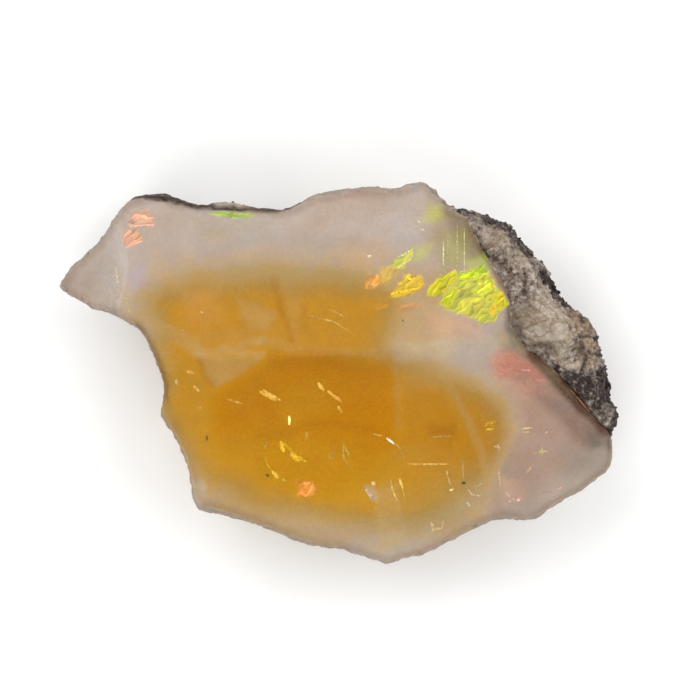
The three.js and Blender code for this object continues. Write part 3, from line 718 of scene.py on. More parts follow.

# %% [markdown]
# Inside the opal, tiny cracks and flakes catch the light as sharp strokes, far finer than the body's net
# can carry as paint. These glints are painted: each is a thin closed sliver let into the surface, whose
# colour and emission stand in for the caught light. It is a line of points, pushed down onto the opal by a
# ray, with a flat diamond as its section. Its colour and glow sit on its points as attributes.

# %% Glints in the opal
# Each stroke: points in the photograph, width in pixels, colour, glow. Most are painted glints, light
# caught by inner cracks and scar edges; the dark_ strokes are dark specks in the stone.
GLINTS = {
    "gold_pair_wide": ([(261, 391), (269, 395), (277, 400)], 4.0, "#f0b03a", 0.5),
    "gold_pair_thin": ([(264, 389), (274, 395), (282, 400)], 2.0, "#f2c35a", 0.6),
    "left_stroke": ([(228, 398), (237, 401), (245, 403)], 2.0, "#e0a038", 0.3),
    "bright_bar": ([(290, 415), (290, 424)], 2.8, "#f2ee8c", 0.7),
    "chain_first": ([(318, 382), (324, 390)], 3.4, "#f5bc4c", 0.6),
    "chain_second": ([(328, 390), (332, 394)], 3.0, "#eeb048", 0.5),
    "chain_third": ([(332, 394), (342, 401)], 3.2, "#e8aa44", 0.45),
    "chain_last": ([(338, 405), (342, 412)], 2.4, "#edb84e", 0.5),
    "arc_left": ([(373, 433), (382, 435)], 2.0, "#d8a040", 0.3),
    "arc_white": ([(386, 437), (394, 443)], 2.2, "#ffe9d8", 0.8),
    "arc_right": ([(394, 442), (399, 446), (404, 458)], 1.5, "#cf9e3e", 0.2),
    "long_line": ([(407, 462.5), (427, 462.8), (447, 462.5)], 1.9, "#d8a84c", 0.3),
    "panel_line": ([(428, 436), (452, 435)], 2.0, "#bd8a3e", 0.12),
    "speck_left_high": ([(190, 371), (196, 373)], 4.0, "#e3a24a", 0.3),
    "speck_left_mid": ([(196, 385), (202, 391)], 2.8, "#e0a652", 0.3),
    "speck_left_far": ([(179, 379), (180, 384)], 2.8, "#d8ac6c", 0.25),
    "speck_left_low": ([(200, 407), (204, 407)], 3.4, "#d9a04a", 0.25),
    "yellow_hook": ([(281, 440), (283, 447), (285, 451)], 4.2, "#e8b022", 0.4),
    "yellow_band": ([(284, 442), (297, 454)], 3.0, "#cc9a06", 0.25),
    "yellow_end": ([(291, 452), (300, 460)], 4.6, "#ebb022", 0.45),
    "yellow_tail": ([(299, 455), (307, 461)], 2.2, "#d8a81e", 0.3),
    "arc_top": ([(268, 441), (265, 448)], 2.0, "#c89a3a", 0.15),
    "arc_side": ([(266, 456), (268, 464), (274, 471)], 2.2, "#cd9c14", 0.2),
    "arc_foot": ([(273, 470), (279, 477)], 3.2, "#e6bc44", 0.4),
    "arc_beads": ([(283, 478), (287, 480)], 2.0, "#d2a846", 0.25),
    "square_corner": ([(301, 491), (307, 495)], 3.0, "#ff9a4a", 0.5),
    "square_top": ([(304, 483), (311, 481)], 3.0, "#f59a48", 0.4),
    "triangle_left": ([(344, 441), (343, 455), (349, 466)], 1.8, "#c8973a", 0.15),
    "triangle_right": ([(345, 446), (350, 456)], 2.2, "#cb9c3e", 0.15),
    "ring_left": ([(330, 450), (329, 455), (332, 458)], 1.6, "#cba042", 0.15),
    "ring_right": ([(331, 449), (335, 452), (333, 458)], 1.6, "#cba042", 0.15),
    "smudge_upright": ([(307, 431), (307, 438)], 3.0, "#caa044", 0.15),
    "veil_bead": ([(371, 482), (375, 482)], 4.0, "#d8b888", 0.3),
    "veil_stroke": ([(365, 487), (369, 492), (373, 498)], 4.0, "#c9a98a", 0.25),
    "veil_hair": ([(390, 478), (392, 489), (397, 499)], 1.8, "#dcb44e", 0.35),
    "veil_spark": ([(399, 477), (402, 486)], 2.6, "#f2c464", 0.5),
    "veil_spark_tail": ([(401, 484), (404, 496)], 1.4, "#cfaa50", 0.2),
    "low_curl": ([(445, 468), (447, 477), (449, 483)], 1.8, "#c8a45a", 0.2),
    "low_spark": ([(448, 488), (452, 487)], 2.4, "#ecd69a", 0.5),
    "low_right_spark": ([(465, 500), (468, 504)], 2.2, "#d8c49c", 0.25),
    "upright_hair": ([(461, 459), (462, 477)], 1.3, "#c8a86a", 0.15),
    "upper_line": ([(309, 316), (322, 319), (334, 322), (343, 328), (350, 332)], 1.9, "#d09c48", 0.12),
    "upper_line_short": ([(327, 309), (337, 313), (348, 320)], 1.7, "#cf9a44", 0.12),
    "terrace_speck": ([(203, 312), (206, 314)], 2.2, "#e0b060", 0.2),
    "ledge_speck": ([(185, 330), (188, 332)], 1.8, "#cfa664", 0.1),
    "crown_speck": ([(419, 232), (423, 232)], 2.6, "#e2c8a0", 0.2),
    "crown_speck_left": ([(367, 258), (371, 258)], 2.8, "#e2cd9c", 0.2),
    "crown_fleck": ([(372, 216), (384, 216)], 1.6, "#cdb8a6", 0.05),
    "crown_fleck_low": ([(416, 223), (419, 225)], 2.0, "#dcc4a0", 0.1),
    "peach_spark": ([(368, 284), (374, 286)], 2.4, "#eec48e", 0.25),
    "hair_first": ([(441.6, 244), (441.6, 268)], 1.6, "#d8d09c", 0.25),
    "hair_second": ([(446, 236), (446, 266)], 1.1, "#b8ac80", 0.1),
    "hair_third": ([(455, 228), (455, 270)], 1.2, "#c2b68a", 0.15),
    "hair_fourth": ([(462, 231), (462, 272)], 1.3, "#cec290", 0.2),
    "wedge_edge": ([(390, 295), (404, 292), (419, 289)], 2.6, "#f6c02a", 0.5),
    "wedge_spark": ([(404, 277), (410, 281)], 2.4, "#f2dc3c", 0.5),
    "strip_first": ([(397, 259), (404, 256), (411, 251)], 2.2, "#dcdc94", 0.3),
    "strip_second": ([(396, 270), (404, 265), (411, 259)], 2.2, "#dcd08c", 0.3),
    "bevel_line": ([(568, 389), (578, 400), (587, 411)], 1.8, "#96644a", 0.0),
    "coral_line": ([(519, 370), (528, 370)], 1.3, "#e2b49c", 0.1),
    "gold_fleck": ([(482, 425), (488, 422), (495, 421)], 3.6, "#d29c18", 0.3),
    "gold_fleck_low": ([(484, 429), (492, 428)], 2.4, "#d8a828", 0.3),
    "pale_fleck": ([(519, 428), (530, 427)], 2.2, "#d4b884", 0.2),
    "pale_fleck_low": ([(521, 431), (528, 431)], 1.8, "#ccb07e", 0.15),
    "pale_fleck_far": ([(543, 433), (547, 430)], 2.2, "#c8a888", 0.1),
    "cup_left": ([(430, 520), (432, 525), (432, 530)], 2.6, "#deb87e", 0.25),
    "cup_foot": ([(432, 527), (441, 527)], 2.2, "#dab87e", 0.2),
    "cup_right": ([(441, 527), (442, 518)], 1.6, "#d2ac72", 0.12),
    "squiggle": ([(465, 485), (469, 492), (476, 494), (483, 494)], 2.0, "#c9ad84", 0.1),
    "squiggle_top": ([(473, 485), (477, 484), (480, 481)], 1.6, "#c9ae84", 0.1),
    "peach_upright": ([(497, 468), (498, 478), (499, 487)], 2.2, "#d2ac7c", 0.12),
    "peach_cross": ([(492, 445), (499, 447)], 1.7, "#d6a97c", 0.15),
    "peach_cross_upright": ([(496, 443), (498, 450)], 1.7, "#d6a97c", 0.15),
    "peach_high": ([(525, 471), (529, 466)], 3.0, "#d2a984", 0.12),
    "pink_line": ([(503, 490), (509, 496), (514, 499)], 1.7, "#d4aa90", 0.12),
    "pink_end": ([(515, 499), (519, 497)], 2.6, "#eeb8a0", 0.4),
    "pink_loop": ([(506, 499), (510, 500)], 1.8, "#d6a090", 0.15),
    "pink_far": ([(556, 488), (560, 486)], 2.4, "#dcaaa0", 0.25),
    "pink_far_line": ([(540, 491), (550, 491)], 1.1, "#c49a92", 0.05),
    "star_flat": ([(533, 452), (540, 450), (546, 451)], 2.2, "#c9b276", 0.15),
    "star_upright": ([(539, 445), (541, 455)], 2.2, "#ccb67a", 0.15),
    "wedge_gold": ([(119, 268), (121, 278), (122, 288)], 1.8, "#d8bc90", 0.12),
    "wedge_gold_low": ([(127, 292), (131, 303), (134, 314)], 2.0, "#d2b47c", 0.15),
    "salmon_edge": ([(134, 229), (146, 228), (158, 227)], 1.4, "#eec4a6", 0.15),
    "dark_left": ([(209, 434), (209, 439)], 1.8, "#6e4412", 0.0),
    "dark_low": ([(267, 473), (270, 475)], 2.4, "#6e4a10", 0.0),
    "dark_right": ([(460, 481), (464, 481)], 2.2, "#4c3820", 0.0),
    "dark_terrace": ([(401, 321), (403, 321)], 2.0, "#7a5838", 0.0),
}
print(len(GLINTS), "strokes of light")

# %% [markdown]
# A sliver is a row of diamond sections, each with its corners on the opal, a ridge just above it and a keel
# below. The row is blunt at both ends. A curve with a bevel would do, but it wouldn't follow the surface.

# %% Build the glints
SLIVER_RINGS, SLIVER_PROUD, SLIVER_DEEP = 6, 0.015 * MM, 0.07 * MM
SLIVER_BLUNT, SLIVER_FULL, RAY_FROM = 0.12, 0.7, 0.05


def on_opal(x, y):
    """The point of the opal's upper surface at a pixel of the photograph, in metres."""
    spot = Vector(((x - ORIGIN_PIXEL[0]) * PIXEL_MM * MM, (ORIGIN_PIXEL[1] - y) * PIXEL_MM * MM, RAY_FROM))
    return opal_tree.ray_cast(spot, Vector((0, 0, -1)))[0]


def sliver(path, width):
    """Points and faces of a closed sliver that follows the path on the opal's surface."""
    path = np.array(path, float)
    run = np.concatenate([[0], np.cumsum(np.hypot(*np.diff(path, axis=0).T))])
    points, faces = [], []
    for ring in range(SLIVER_RINGS):
        share = ring / (SLIVER_RINGS - 1)
        x, y = (np.interp(share * run[-1], run, path[:, axis]) for axis in (0, 1))
        along = (path[-1] - path[0]) / run[-1]
        swell = math.sin(math.pi * (SLIVER_BLUNT + (1 - 2 * SLIVER_BLUNT) * share)) ** SLIVER_FULL
        half = 0.5 * width * swell
        left = on_opal(x - along[1] * half, y + along[0] * half)
        right = on_opal(x + along[1] * half, y - along[0] * half)
        top = on_opal(x, y)
        points += [left, top + Vector((0, 0, SLIVER_PROUD)), right, top - Vector((0, 0, SLIVER_DEEP))]
    for ring in range(SLIVER_RINGS - 1):
        for side in range(4):
            a, b = 4 * ring + side, 4 * ring + (side + 1) % 4
            faces.append((a, b, b + 4, a + 4))
    faces += [(3, 2, 1, 0), tuple(len(points) - 4 + corner for corner in range(4))]
    return points, faces


glint_points, glint_faces, glint_tints, glint_glows = [], [], [], []
for path, width, hex_code, glow in GLINTS.values():
    points, faces = sliver(path, width)
    glint_faces += [tuple(len(glint_points) + corner for corner in face) for face in faces]
    glint_points += points
    glint_tints += [colour(hex_code)[:3]] * len(points)
    glint_glows += [glow] * len(points)
glint_mesh = bpy.data.meshes.new("opal_glints")
glint_mesh.from_pydata(glint_points, [], glint_faces)
net = bmesh.new()
net.from_mesh(glint_mesh)
bmesh.ops.recalc_face_normals(net, faces=net.faces)
net.to_mesh(glint_mesh)
net.free()
paint(glint_mesh, "tint", np.array(glint_tints))
paint(glint_mesh, "glow", np.array(glint_glows))
glints = bpy.data.objects.new("opal_glints", glint_mesh)
bpy.context.scene.collection.objects.link(glints)

# %% [markdown]
# A crack in opal shows as a thin film of light, brighter in places, and the slivers paint it as colour and
# emission. Each sliver already carries its colour and glow on its points, so one material serves them all
# and only makes them uneven along their length.

# %% Glint material
# Painted glint: light caught in an inner crack of opal, painted as a sliver of colour that glows by
# emission, a little uneven along its length.
glint_material = bpy.data.materials.new("opal_inner_crack")
tree, shader, place = material_tree(glint_material)
tint = add(tree, "ShaderNodeAttribute", attribute_name="tint", out="Vector")
glow = add(tree, "ShaderNodeAttribute", attribute_name="glow", out="Fac")
GLINT_MM = 0.16
uneven = add(tree, "ShaderNodeTexNoise", {"Vector": place, "Scale": 1 / (GLINT_MM * MM), "Detail": 1.0})
uneven = add(tree, "ShaderNodeMapRange",
             {"Value": uneven, "From Min": 0.3, "From Max": 0.7, "To Min": 0.45, "To Max": 1.15})
tint = mixed(tree, 1.0, tint, uneven, "MULTIPLY")
glow = add(tree, "ShaderNodeMath", {0: glow, 1: 0.4}, operation="MULTIPLY")
for socket, source in {"Base Color": tint, "Emission Color": tint, "Emission Strength": glow}.items():
    tree.links.new(source, shader.inputs[socket])
shader.inputs["Roughness"].default_value = 0.3
shader.inputs["IOR"].default_value = 1.45
glint_mesh.materials.append(glint_material)
print("slivers:", len(GLINTS), "with", len(glint_mesh.polygons), "faces")

# %% [markdown]
# The matrix is a rough, pitted volcanic rock. Its large lumps are in the CAD. Its net is finer than the
# opal's, because it has to carry small pits, and it is evened out in fewer rounds, so that it keeps its
# corners.

# %% Rock body
ROCK_VOXEL = 0.16 * MM
rock = merged_copy("matrix", "matrix_rock")
even_net(rock, ROCK_VOXEL, rounds=4, ridge_deg=20)

# %% [markdown]
# The rock has pale lumps, a tan knob and black stains, mostly along its rim. The black mask also paints
# shade under the big pale lump and along the rim. They are painted like the opal's zones, and before the
# relief is made, because the pale lumps are smoother and the black areas carry more crumbs.

# %% Rock zones
ROCK_ZONES = {
    "pale": {
        "upper_lump": (0.8, 4, [(476, 232), (484, 224), (494, 228), (508, 236), (508, 246), (494, 250),
            (482, 246)]),
        "mid_patch": (0.7, 4, [(504, 252), (514, 244), (526, 252), (530, 262), (518, 268), (506, 262)]),
        "big_lump": (1.0, 5, [(507, 316), (522, 304), (540, 298), (556, 306), (567, 322), (569, 340),
            (566, 354), (556, 360), (540, 350), (522, 342), (512, 332)]),
        "lump_top": (0.3, 4, [(526, 292), (544, 290), (556, 300), (540, 306), (528, 304)]),
        "stripe": (0.7, 3, [(560, 364), (570, 366), (580, 364)], 4),
    },
    "tan": {
        "right": (0.8, 6, [(562, 306), (584, 310), (596, 330), (598, 352), (592, 366), (578, 362),
            (576, 336), (566, 320)]),
    },
    # Black stains and the rind's dark skin, and painted shade: lump_under and under_patch under the pale
    # lump; the rim strokes are partly painted shade along the outer edge.
    "black": {
        "contact_top": (0.9, 2.5, [(463, 224), (470, 236), (478, 247), (487, 257)], 2.5),
        "spur": (1.0, 2.5, [(457, 214), (460, 206), (466, 207), (468, 214)]),
        "upper_rim": (0.45, 4, [(484, 220), (498, 225), (508, 229), (514, 236), (512, 246)], 5),
        "whole_rim": (0.4, 6, [(464, 212), (484, 218), (500, 225), (514, 234), (524, 246), (534, 258),
            (546, 272), (556, 286), (566, 302), (580, 312), (592, 322), (598, 340), (602, 360), (606, 380),
            (612, 400), (616, 418)], 8),
        "crumbs_first": (0.95, 3, [(517, 239), (524, 246), (528, 255)], 4),
        "crumbs_second": (0.7, 2.5, [(540, 274), (547, 281)], 4),
        "crumbs_third": (1.0, 2.5, [(551, 281), (555, 289)], 3.5),
        "crumbs_fourth": (1.0, 3, [(553, 294), (560, 297), (565, 304)], 4),
        "knob_spot": (0.8, 2, [(577, 318), (582, 318), (582, 325), (578, 325)]),
        "knob_crack": (0.7, 2.5, [(572, 338), (584, 336), (597, 340)], 1.5),
        "knob_crack_low": (0.7, 3, [(580, 344), (583, 356), (580, 370)], 2),
        "knob_crack_right": (0.6, 2.5, [(588, 352), (594, 355), (600, 354)], 1.5),
        "lump_under": (0.55, 3, [(520, 343), (532, 352), (546, 360), (556, 368)], 2.5),
        "under_patch": (0.5, 3, [(530, 344), (546, 342), (556, 352), (548, 358)]),
        "band": (0.85, 4, [(550, 366), (574, 371), (590, 374), (588, 386), (566, 385)]),
        "tail_rim": (0.9, 4, [(600, 372), (605, 384), (609, 398), (615, 408), (617, 420), (608, 430)], 6),
        "tail": (0.85, 6, [(570, 378), (602, 370), (606, 400), (604, 422), (590, 412), (574, 396)]),
        "skin": (0.9, 8, [(120, 185), (212, 185), (212, 220), (120, 215)]),
        "skin_right": (0.8, 8, [(250, 185), (300, 185), (300, 220), (250, 220)]),
    },
}
rock_points = read(rock.data.vertices, "co", 3)
rock_where = wander(pixels(rock_points), size=6, reach=2, seed=22)
RIND_UNTIL = 400  # pixels: left of this the rock is only the rind, which is dark all the way down
FOOT_SHARE, FOOT_MM = 0.3, (3, 6)  # how much of a zone is left at the rock's foot, and where that ends
fade = np.where(rock_where[:, 0] < RIND_UNTIL, 1,
                FOOT_SHARE + (1 - FOOT_SHARE) * ease(rock_points[:, 2] / MM, *FOOT_MM))
for mask, zones in ROCK_ZONES.items():
    paint(rock.data, mask,
          fade * np.clip(sum(strength_of(rock_where, *zone) for zone in zones.values()), 0, 1))

# %% [markdown]
# A Displace modifier could roughen the rock, but it would need a vertex group to spare the opal's side. A
# Geometry Nodes tree reads the distance to the opal: away from it two sizes of lumps and sharp pits move
# the surface along its normal, and close to it the rock swells to meet the opal. The CAD leaves a thin gap
# there, and the stone none.

# %% Rock relief
tree, given, result = new_tree("pitted_rock", {
    "Opal": "Object", "Coarse": "Float", "Coarse Height": "Float", "Fine": "Float", "Fine Height": "Float",
    "Pit": "Float", "Pit Depth": "Float", "Material": "Material"})
place = add(tree, "GeometryNodeInputPosition")
rise = 0.0
for size, amount, depth in (("Coarse", "Coarse Height", 3.0), ("Fine", "Fine Height", 3.0)):
    per_metre = add(tree, "ShaderNodeMath", {0: 1.0, 1: given[size]}, operation="DIVIDE")
    lumps = add(tree, "ShaderNodeTexNoise", {"Vector": place, "Scale": per_metre, "Detail": depth})
    lumps = add(tree, "ShaderNodeMath", {0: lumps, 1: 0.5}, operation="SUBTRACT")
    rise = add(tree, "ShaderNodeMath", {0: lumps, 1: given[amount], 2: rise}, operation="MULTIPLY_ADD")
per_metre = add(tree, "ShaderNodeMath", {0: 1.0, 1: given["Pit"]}, operation="DIVIDE")
cells = add(tree, "ShaderNodeTexVoronoi", {"Vector": place, "Scale": per_metre}, out="Distance")
pits = add(tree, "ShaderNodeMapRange",
           {"Value": cells, "From Min": 0.1, "From Max": 0.32, "To Min": 1.0, "To Max": 0.0},
           interpolation_type="SMOOTHSTEP")
pits = add(tree, "ShaderNodeMath", {0: pits, 1: given["Pit Depth"]}, operation="MULTIPLY")
rise = add(tree, "ShaderNodeMath", {0: rise, 1: pits}, operation="SUBTRACT")

# Near the opal the roughness fades out, and the rock is drawn up to the opal's surface instead.
opal_shape = add(tree, "GeometryNodeObjectInfo", {"Object": given["Opal"]}, out="Geometry")
near = add(tree, "GeometryNodeProximity", {0: opal_shape}, target_element="FACES", out=None).outputs
free = add(tree, "ShaderNodeMapRange",
           {"Value": near["Distance"], "From Min": 0.3 * MM, "From Max": 1.0 * MM})
held = add(tree, "ShaderNodeMapRange",
           {"Value": near["Distance"], "From Min": 0.35 * MM, "From Max": 0.6 * MM,
            "To Min": 0.7, "To Max": 0.0})
height = add(tree, "ShaderNodeSeparateXYZ", {0: place}, out="Z")
off_ground = add(tree, "ShaderNodeMapRange", {"Value": height, "From Min": 0.1 * MM, "From Max": 0.9 * MM})
pale = add(tree, "GeometryNodeInputNamedAttribute", {"Name": "pale"})
rough = add(tree, "ShaderNodeMath", {0: pale, 1: -0.5, 2: 1.0}, operation="MULTIPLY_ADD")
bare = add(tree, "ShaderNodeMath", {0: free, 1: off_ground}, operation="MULTIPLY")
for share in (rough, bare):
    rise = add(tree, "ShaderNodeMath", {0: rise, 1: share}, operation="MULTIPLY")
held = add(tree, "ShaderNodeMath", {0: held, 1: off_ground}, operation="MULTIPLY")
normal = add(tree, "GeometryNodeInputNormal")
rough = add(tree, "ShaderNodeVectorMath", {0: normal, "Scale": rise}, operation="SCALE")
held = add(tree, "ShaderNodeMath", {0: held, 1: near["Distance"]}, operation="MULTIPLY")
swell = add(tree, "ShaderNodeVectorMath", {0: normal, "Scale": held}, operation="SCALE")
step = add(tree, "ShaderNodeVectorMath", {0: rough, 1: swell}, operation="ADD")
relief = add(tree, "ShaderNodeMath", {0: rise, 1: given["Coarse Height"]}, operation="DIVIDE")
noted = given["Geometry"]
for name, value in (("relief", relief), ("bare", bare)):
    noted = add(tree, "GeometryNodeStoreNamedAttribute", {"Geometry": noted, "Name": name, "Value": value})
moved = add(tree, "GeometryNodeSetPosition", {"Geometry": noted, "Offset": step})
whole = add(tree, "GeometryNodeRealizeInstances", {0: moved})
dressed = add(tree, "GeometryNodeSetMaterial", {0: whole, "Material": given["Material"]})
tree.links.new(dressed, result.inputs[0])

rock_material = bpy.data.materials.new("weathered_rhyolite")
grow(rock, tree, **{"Opal": opal, "Coarse": 1.1 * MM, "Coarse Height": 0.9 * MM, "Fine": 0.38 * MM,
                    "Fine Height": 0.36 * MM, "Pit": 1.1 * MM, "Pit Depth": 0.3 * MM,
                    "Material": rock_material})

# %% [markdown]
# Weathered rhyolite is a mix of pale feldspar and quartz bits in a brown ground mass, stained black where
# iron and manganese dried on it. It is dull, so roughness is high. Slow noise makes the stains, fine noise
# the grit, and the relief that the tree has noted gives painted shade in the crevices.

# %% Rock material
# Weathered rhyolite: dull, gritty and speckled, with pale lumps, brown cracks and black stains, and painted
# shade in its crevices, under its pale lump and along its rim.
tree, shader, place = material_tree(rock_material)
masks = {name: add(tree, "ShaderNodeAttribute", attribute_name=name, out="Fac")
         for name in (*ROCK_ZONES, "relief")}
GRIT_MM, SPOT_MM, STAIN_MM, VEIN_MM = 0.42, 0.55, 1.5, 1.1
grit = add(tree, "ShaderNodeTexNoise",
           {"Vector": place, "Scale": 1 / (GRIT_MM * MM), "Detail": 6.0, "Roughness": 0.76})
stain = add(tree, "ShaderNodeTexNoise",
            {"Vector": place, "Scale": 1 / (STAIN_MM * MM), "Detail": 5.0, "Roughness": 0.62})
ground = add(tree, "ShaderNodeValToRGB", {0: grit}, stops=[
    (0.36, "#43352c"), (0.45, "#796a5e"), (0.53, "#a29387"), (0.64, "#cbbfb2")])
pale = add(tree, "ShaderNodeMath", {0: grit, 1: stain}, operation="ADD")
pale = add(tree, "ShaderNodeMath", {0: pale, 1: 0.5}, operation="MULTIPLY")
pale = add(tree, "ShaderNodeValToRGB", {0: pale}, stops=[
    (0.37, "#77674f"), (0.45, "#998a76"), (0.53, "#a99b8a"), (0.62, "#c2b7a9")])
vein = add(tree, "ShaderNodeTexNoise", {"Vector": place, "Scale": 1 / (VEIN_MM * MM), "Detail": 3.0})
vein = add(tree, "ShaderNodeMath", {0: vein, 1: 0.5}, operation="SUBTRACT")
vein = add(tree, "ShaderNodeMath", {0: vein}, operation="ABSOLUTE")
vein = add(tree, "ShaderNodeMapRange", {"Value": vein, "From Max": 0.06, "To Min": 0.8, "To Max": 0.0})
pale = mixed(tree, vein, pale, "#75604a")
tan = add(tree, "ShaderNodeValToRGB", {0: grit}, stops=[
    (0.3, "#55412e"), (0.43, "#7f694f"), (0.55, "#968068"), (0.7, "#b4a189")])
rock_colour = mixed(tree, masks["pale"], ground, pale)
rock_colour = mixed(tree, masks["tan"], rock_colour, tan)
spots = add(tree, "ShaderNodeTexVoronoi", {"Vector": place, "Scale": 1 / (SPOT_MM * MM)}, out="Distance")
spots = add(tree, "ShaderNodeMapRange", {"Value": spots, "From Min": 0.28, "From Max": 0.14, "To Max": 0.5})
speckled = add(tree, "ShaderNodeMapRange", {"Value": masks["pale"], "To Min": 1.0, "To Max": 0.05})
spots = add(tree, "ShaderNodeMath", {0: spots, 1: speckled}, operation="MULTIPLY")
rock_colour = mixed(tree, spots, rock_colour, "#4c3d36")
# Painted shade: the crevices, where the relief is low, are darkened.
hollow = add(tree, "ShaderNodeMapRange",
             {"Value": masks["relief"], "From Min": -0.04, "From Max": -0.34, "To Max": 0.7})
rock_colour = mixed(tree, hollow, rock_colour, "#43342b")
# The black mask: black stains, and painted shade under the pale lump and along the rim.
ragged = add(tree, "ShaderNodeMapRange",
             {"Value": grit, "From Min": 0.66, "From Max": 0.4, "To Min": 0.55, "To Max": 1.3})
blackened = add(tree, "ShaderNodeMath", {0: ragged, 1: masks["black"]}, operation="MULTIPLY", use_clamp=True)
rock_colour = mixed(tree, blackened, rock_colour, "#2f2523")
dullness = add(tree, "ShaderNodeMapRange", {"Value": grit, "To Min": 0.75, "To Max": 0.98})
tree.links.new(rock_colour, shader.inputs["Base Color"])
tree.links.new(dullness, shader.inputs["Roughness"])
print("rock material has", len(tree.nodes), "nodes")

# %% [markdown]
# Crumbs of rock stand out of the surface and make its outline ragged. They follow the rock, so a Geometry
# Nodes tree scatters them: points on the bare faces, more of them where the rock is black, each with a
# small stone of twenty faces, turned and stretched at random. A displacement this fine would need millions
# of faces.

# %% Rock grains
tree, given, result = new_tree("rock_grains", {
    "Density": "Float", "Smallest": "Float", "Largest": "Float", "Seed": "Int", "Material": "Material"})
kept = {name: add(tree, "GeometryNodeInputNamedAttribute", {"Name": name})
        for name in ("bare", "black", "pale")}
often = add(tree, "ShaderNodeMath", {0: kept["black"], 1: 1.5, 2: 1.0}, operation="MULTIPLY_ADD")
seldom = add(tree, "ShaderNodeMath", {0: kept["pale"], 1: -1.0, 2: 1.0}, operation="MULTIPLY_ADD")
density = given["Density"]
for share in (kept["bare"], often, seldom):
    density = add(tree, "ShaderNodeMath", {0: density, 1: share}, operation="MULTIPLY")
dots = add(tree, "GeometryNodeDistributePointsOnFaces",
           {"Mesh": given["Geometry"], "Density": density, "Seed": given["Seed"]})
FULL_TURN = (6.283, 6.283, 6.283)
turn = add(tree, "FunctionNodeRandomValue", {1: FULL_TURN, "Seed": 1, 0: (0.0, 0.0, 0.0)},
           data_type="FLOAT_VECTOR")
low = add(tree, "ShaderNodeCombineXYZ", {axis: given["Smallest"] for axis in range(3)})
high = add(tree, "ShaderNodeCombineXYZ", {axis: given["Largest"] for axis in range(3)})
size = add(tree, "FunctionNodeRandomValue", {0: low, 1: high, "Seed": 2}, data_type="FLOAT_VECTOR")
crumb = add(tree, "GeometryNodeMeshIcoSphere", {"Radius": 1.0, "Subdivisions": 1}, out="Mesh")
placed = add(tree, "GeometryNodeInstanceOnPoints",
             {"Points": dots, "Instance": crumb, "Rotation": turn, "Scale": size})
shade = add(tree, "FunctionNodeRandomValue", {"Seed": 3}, data_type="FLOAT", out=1)
placed = add(tree, "GeometryNodeStoreNamedAttribute", {"Geometry": placed, "Name": "shade", "Value": shade},
             domain="INSTANCE")
whole = add(tree, "GeometryNodeRealizeInstances", {0: placed})
dressed = add(tree, "GeometryNodeSetMaterial", {0: whole, "Material": given["Material"]})
tree.links.new(dressed, result.inputs[0])

grain_material = bpy.data.materials.new("rhyolite_crumbs")
grains = bpy.data.objects.new("matrix_grains", rock.data.copy())
bpy.context.scene.collection.objects.link(grains)
grow(grains, tree, Density=0.7 / MM ** 2, Smallest=0.07 * MM, Largest=0.24 * MM, Seed=4,
     Material=grain_material)
grains.data.shade_flat()

# %% [markdown]
# A broken rock shows many minerals, so each crumb has a shade of its own, drawn at random by the tree and
# kept on the crumb. Crumbs on the rock's black mask, on its stains and on its painted shade, are black too.

# %% Grain material
# Crumbs of rhyolite: each its own dull shade of brown or grey, black on the rock's black stains and on its
# painted shade.
tree, shader, place = material_tree(grain_material)
shade = add(tree, "ShaderNodeAttribute", attribute_name="shade", out="Fac")
stain_and_shade = add(tree, "ShaderNodeAttribute", attribute_name="black", out="Fac")
dust = add(tree, "ShaderNodeTexNoise", {"Vector": place, "Scale": 1 / (GRIT_MM * MM), "Detail": 2.0})
shade = add(tree, "ShaderNodeMath", {0: dust, 1: 0.3, 2: shade}, operation="MULTIPLY_ADD")
crumb_colour = add(tree, "ShaderNodeValToRGB", {0: shade}, stops=[
    (0.1, "#52453c"), (0.5, "#7c6d61"), (0.8, "#988a7d"), (1.0, "#b4a698")])
tree.links.new(mixed(tree, stain_and_shade, crumb_colour, "#2a211f"), shader.inputs["Base Color"])
shader.inputs["Roughness"].default_value = 0.9
print("grains:", len(grains.data.polygons), "faces")

# %% [markdown]
# The stage is a plain pale floor under wide, soft lights at the sides. None hangs straight over the stone,
# and none shows in reflections: a glossy face would mirror it and grey out the honey colour. The camera
# looks straight down through a long lens, so the outline isn't bent by perspective.

# %% Floor, light and camera
floor_mesh = bpy.data.meshes.new("floor")
FLOOR_HALF = 0.6
floor_mesh.from_pydata([(-FLOOR_HALF, -FLOOR_HALF, 0), (FLOOR_HALF, -FLOOR_HALF, 0),
                        (FLOOR_HALF, FLOOR_HALF, 0), (-FLOOR_HALF, FLOOR_HALF, 0)], [], [(0, 1, 2, 3)])
floor = bpy.data.objects.new("floor", floor_mesh)
bpy.context.scene.collection.objects.link(floor)
# Matt white card: bright and even, faintly clouded by its fibres.
floor_material = bpy.data.materials.new("matt_white_card")
tree, shader, place = material_tree(floor_material)
FIBRE_MM = 8
fibre = add(tree, "ShaderNodeTexNoise", {"Vector": place, "Scale": 1 / (FIBRE_MM * MM), "Detail": 3.0})
card = add(tree, "ShaderNodeValToRGB", {0: fibre}, stops=[(0.3, "#f8f8f7"), (0.7, "#fcfcfb")])
tree.links.new(card, shader.inputs["Base Color"])
shader.inputs["Roughness"].default_value = 0.9
floor_mesh.materials.append(floor_material)

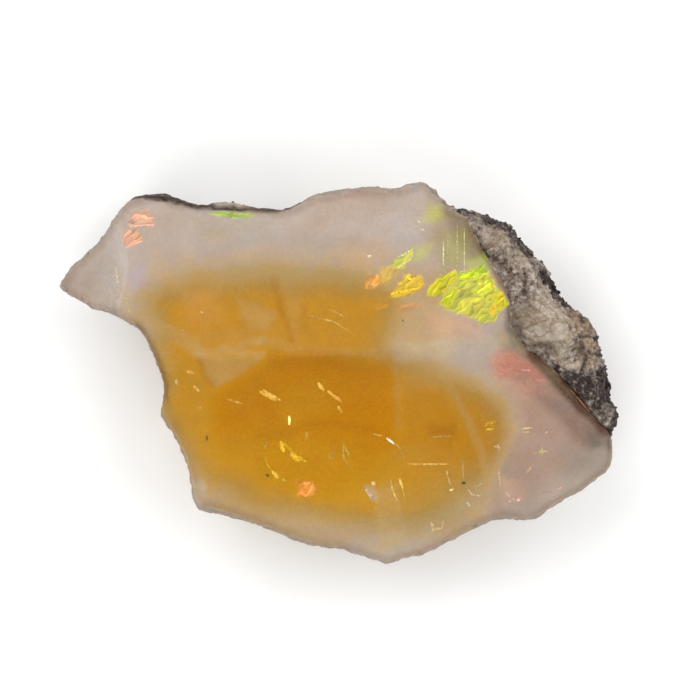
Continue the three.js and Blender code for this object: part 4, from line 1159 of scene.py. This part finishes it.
world = bpy.data.worlds.new("studio")
bpy.context.scene.world = world
world.use_nodes = True
world.node_tree.nodes["Background"].inputs["Color"].default_value = colour("#f4f6f8")
world.node_tree.nodes["Background"].inputs["Strength"].default_value = 0.38
LIGHTS = {"key": (130, 38, 7.4), "fill": (20, 38, 5.8), "side": (250, 38, 5.8)}
LIGHT_AWAY, LIGHT_SIZE = 0.9, 1.1
for name, (turn, climb, power) in LIGHTS.items():
    lamp = bpy.data.lights.new(name, "AREA")
    lamp.energy, lamp.size = power, LIGHT_SIZE
    holder = bpy.data.objects.new(name, lamp)
    spot = Vector((math.cos(math.radians(turn)) * math.cos(math.radians(climb)),
                   math.sin(math.radians(turn)) * math.cos(math.radians(climb)),
                   math.sin(math.radians(climb))))
    holder.location = spot * LIGHT_AWAY
    holder.rotation_euler = spot.to_track_quat("Z", "Y").to_euler()
    holder.visible_glossy = False
    bpy.context.scene.collection.objects.link(holder)

PHOTO_SIZE, LENS_MM, SENSOR_MM, OUTLINE_HEIGHT_MM = 700, 200, 36, 6.2
lens = bpy.data.cameras.new("camera")
lens.lens, lens.sensor_width = LENS_MM, SENSOR_MM
lens.clip_start, lens.clip_end = 0.01, 10
camera = bpy.data.objects.new("camera", lens)
away_mm = LENS_MM / SENSOR_MM * PHOTO_SIZE * PIXEL_MM
camera.location = ((PHOTO_SIZE / 2 - ORIGIN_PIXEL[0]) * PIXEL_MM * MM,
                   (ORIGIN_PIXEL[1] - PHOTO_SIZE / 2) * PIXEL_MM * MM, (away_mm + OUTLINE_HEIGHT_MM) * MM)
bpy.context.scene.collection.objects.link(camera)
bpy.context.scene.camera = camera
bpy.context.scene.view_settings.view_transform = "Standard"
print("camera stands", round(away_mm), "mm above the stone")

# %% [markdown]
# Last, each piece is tied to the frame: it rides on the one body, and the CAD nodes of the opal and the
# rock, which their pieces replace, are hidden.

# %% Tie the pieces to the frame
for piece, node in ((opal, "opal"), (rock, "matrix")):
    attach(piece, "root")
    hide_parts(node)
for piece, slot in ((glints, "opal"), (grains, "matrix")):
    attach(piece, "root")
bpy.context.view_layer.update()
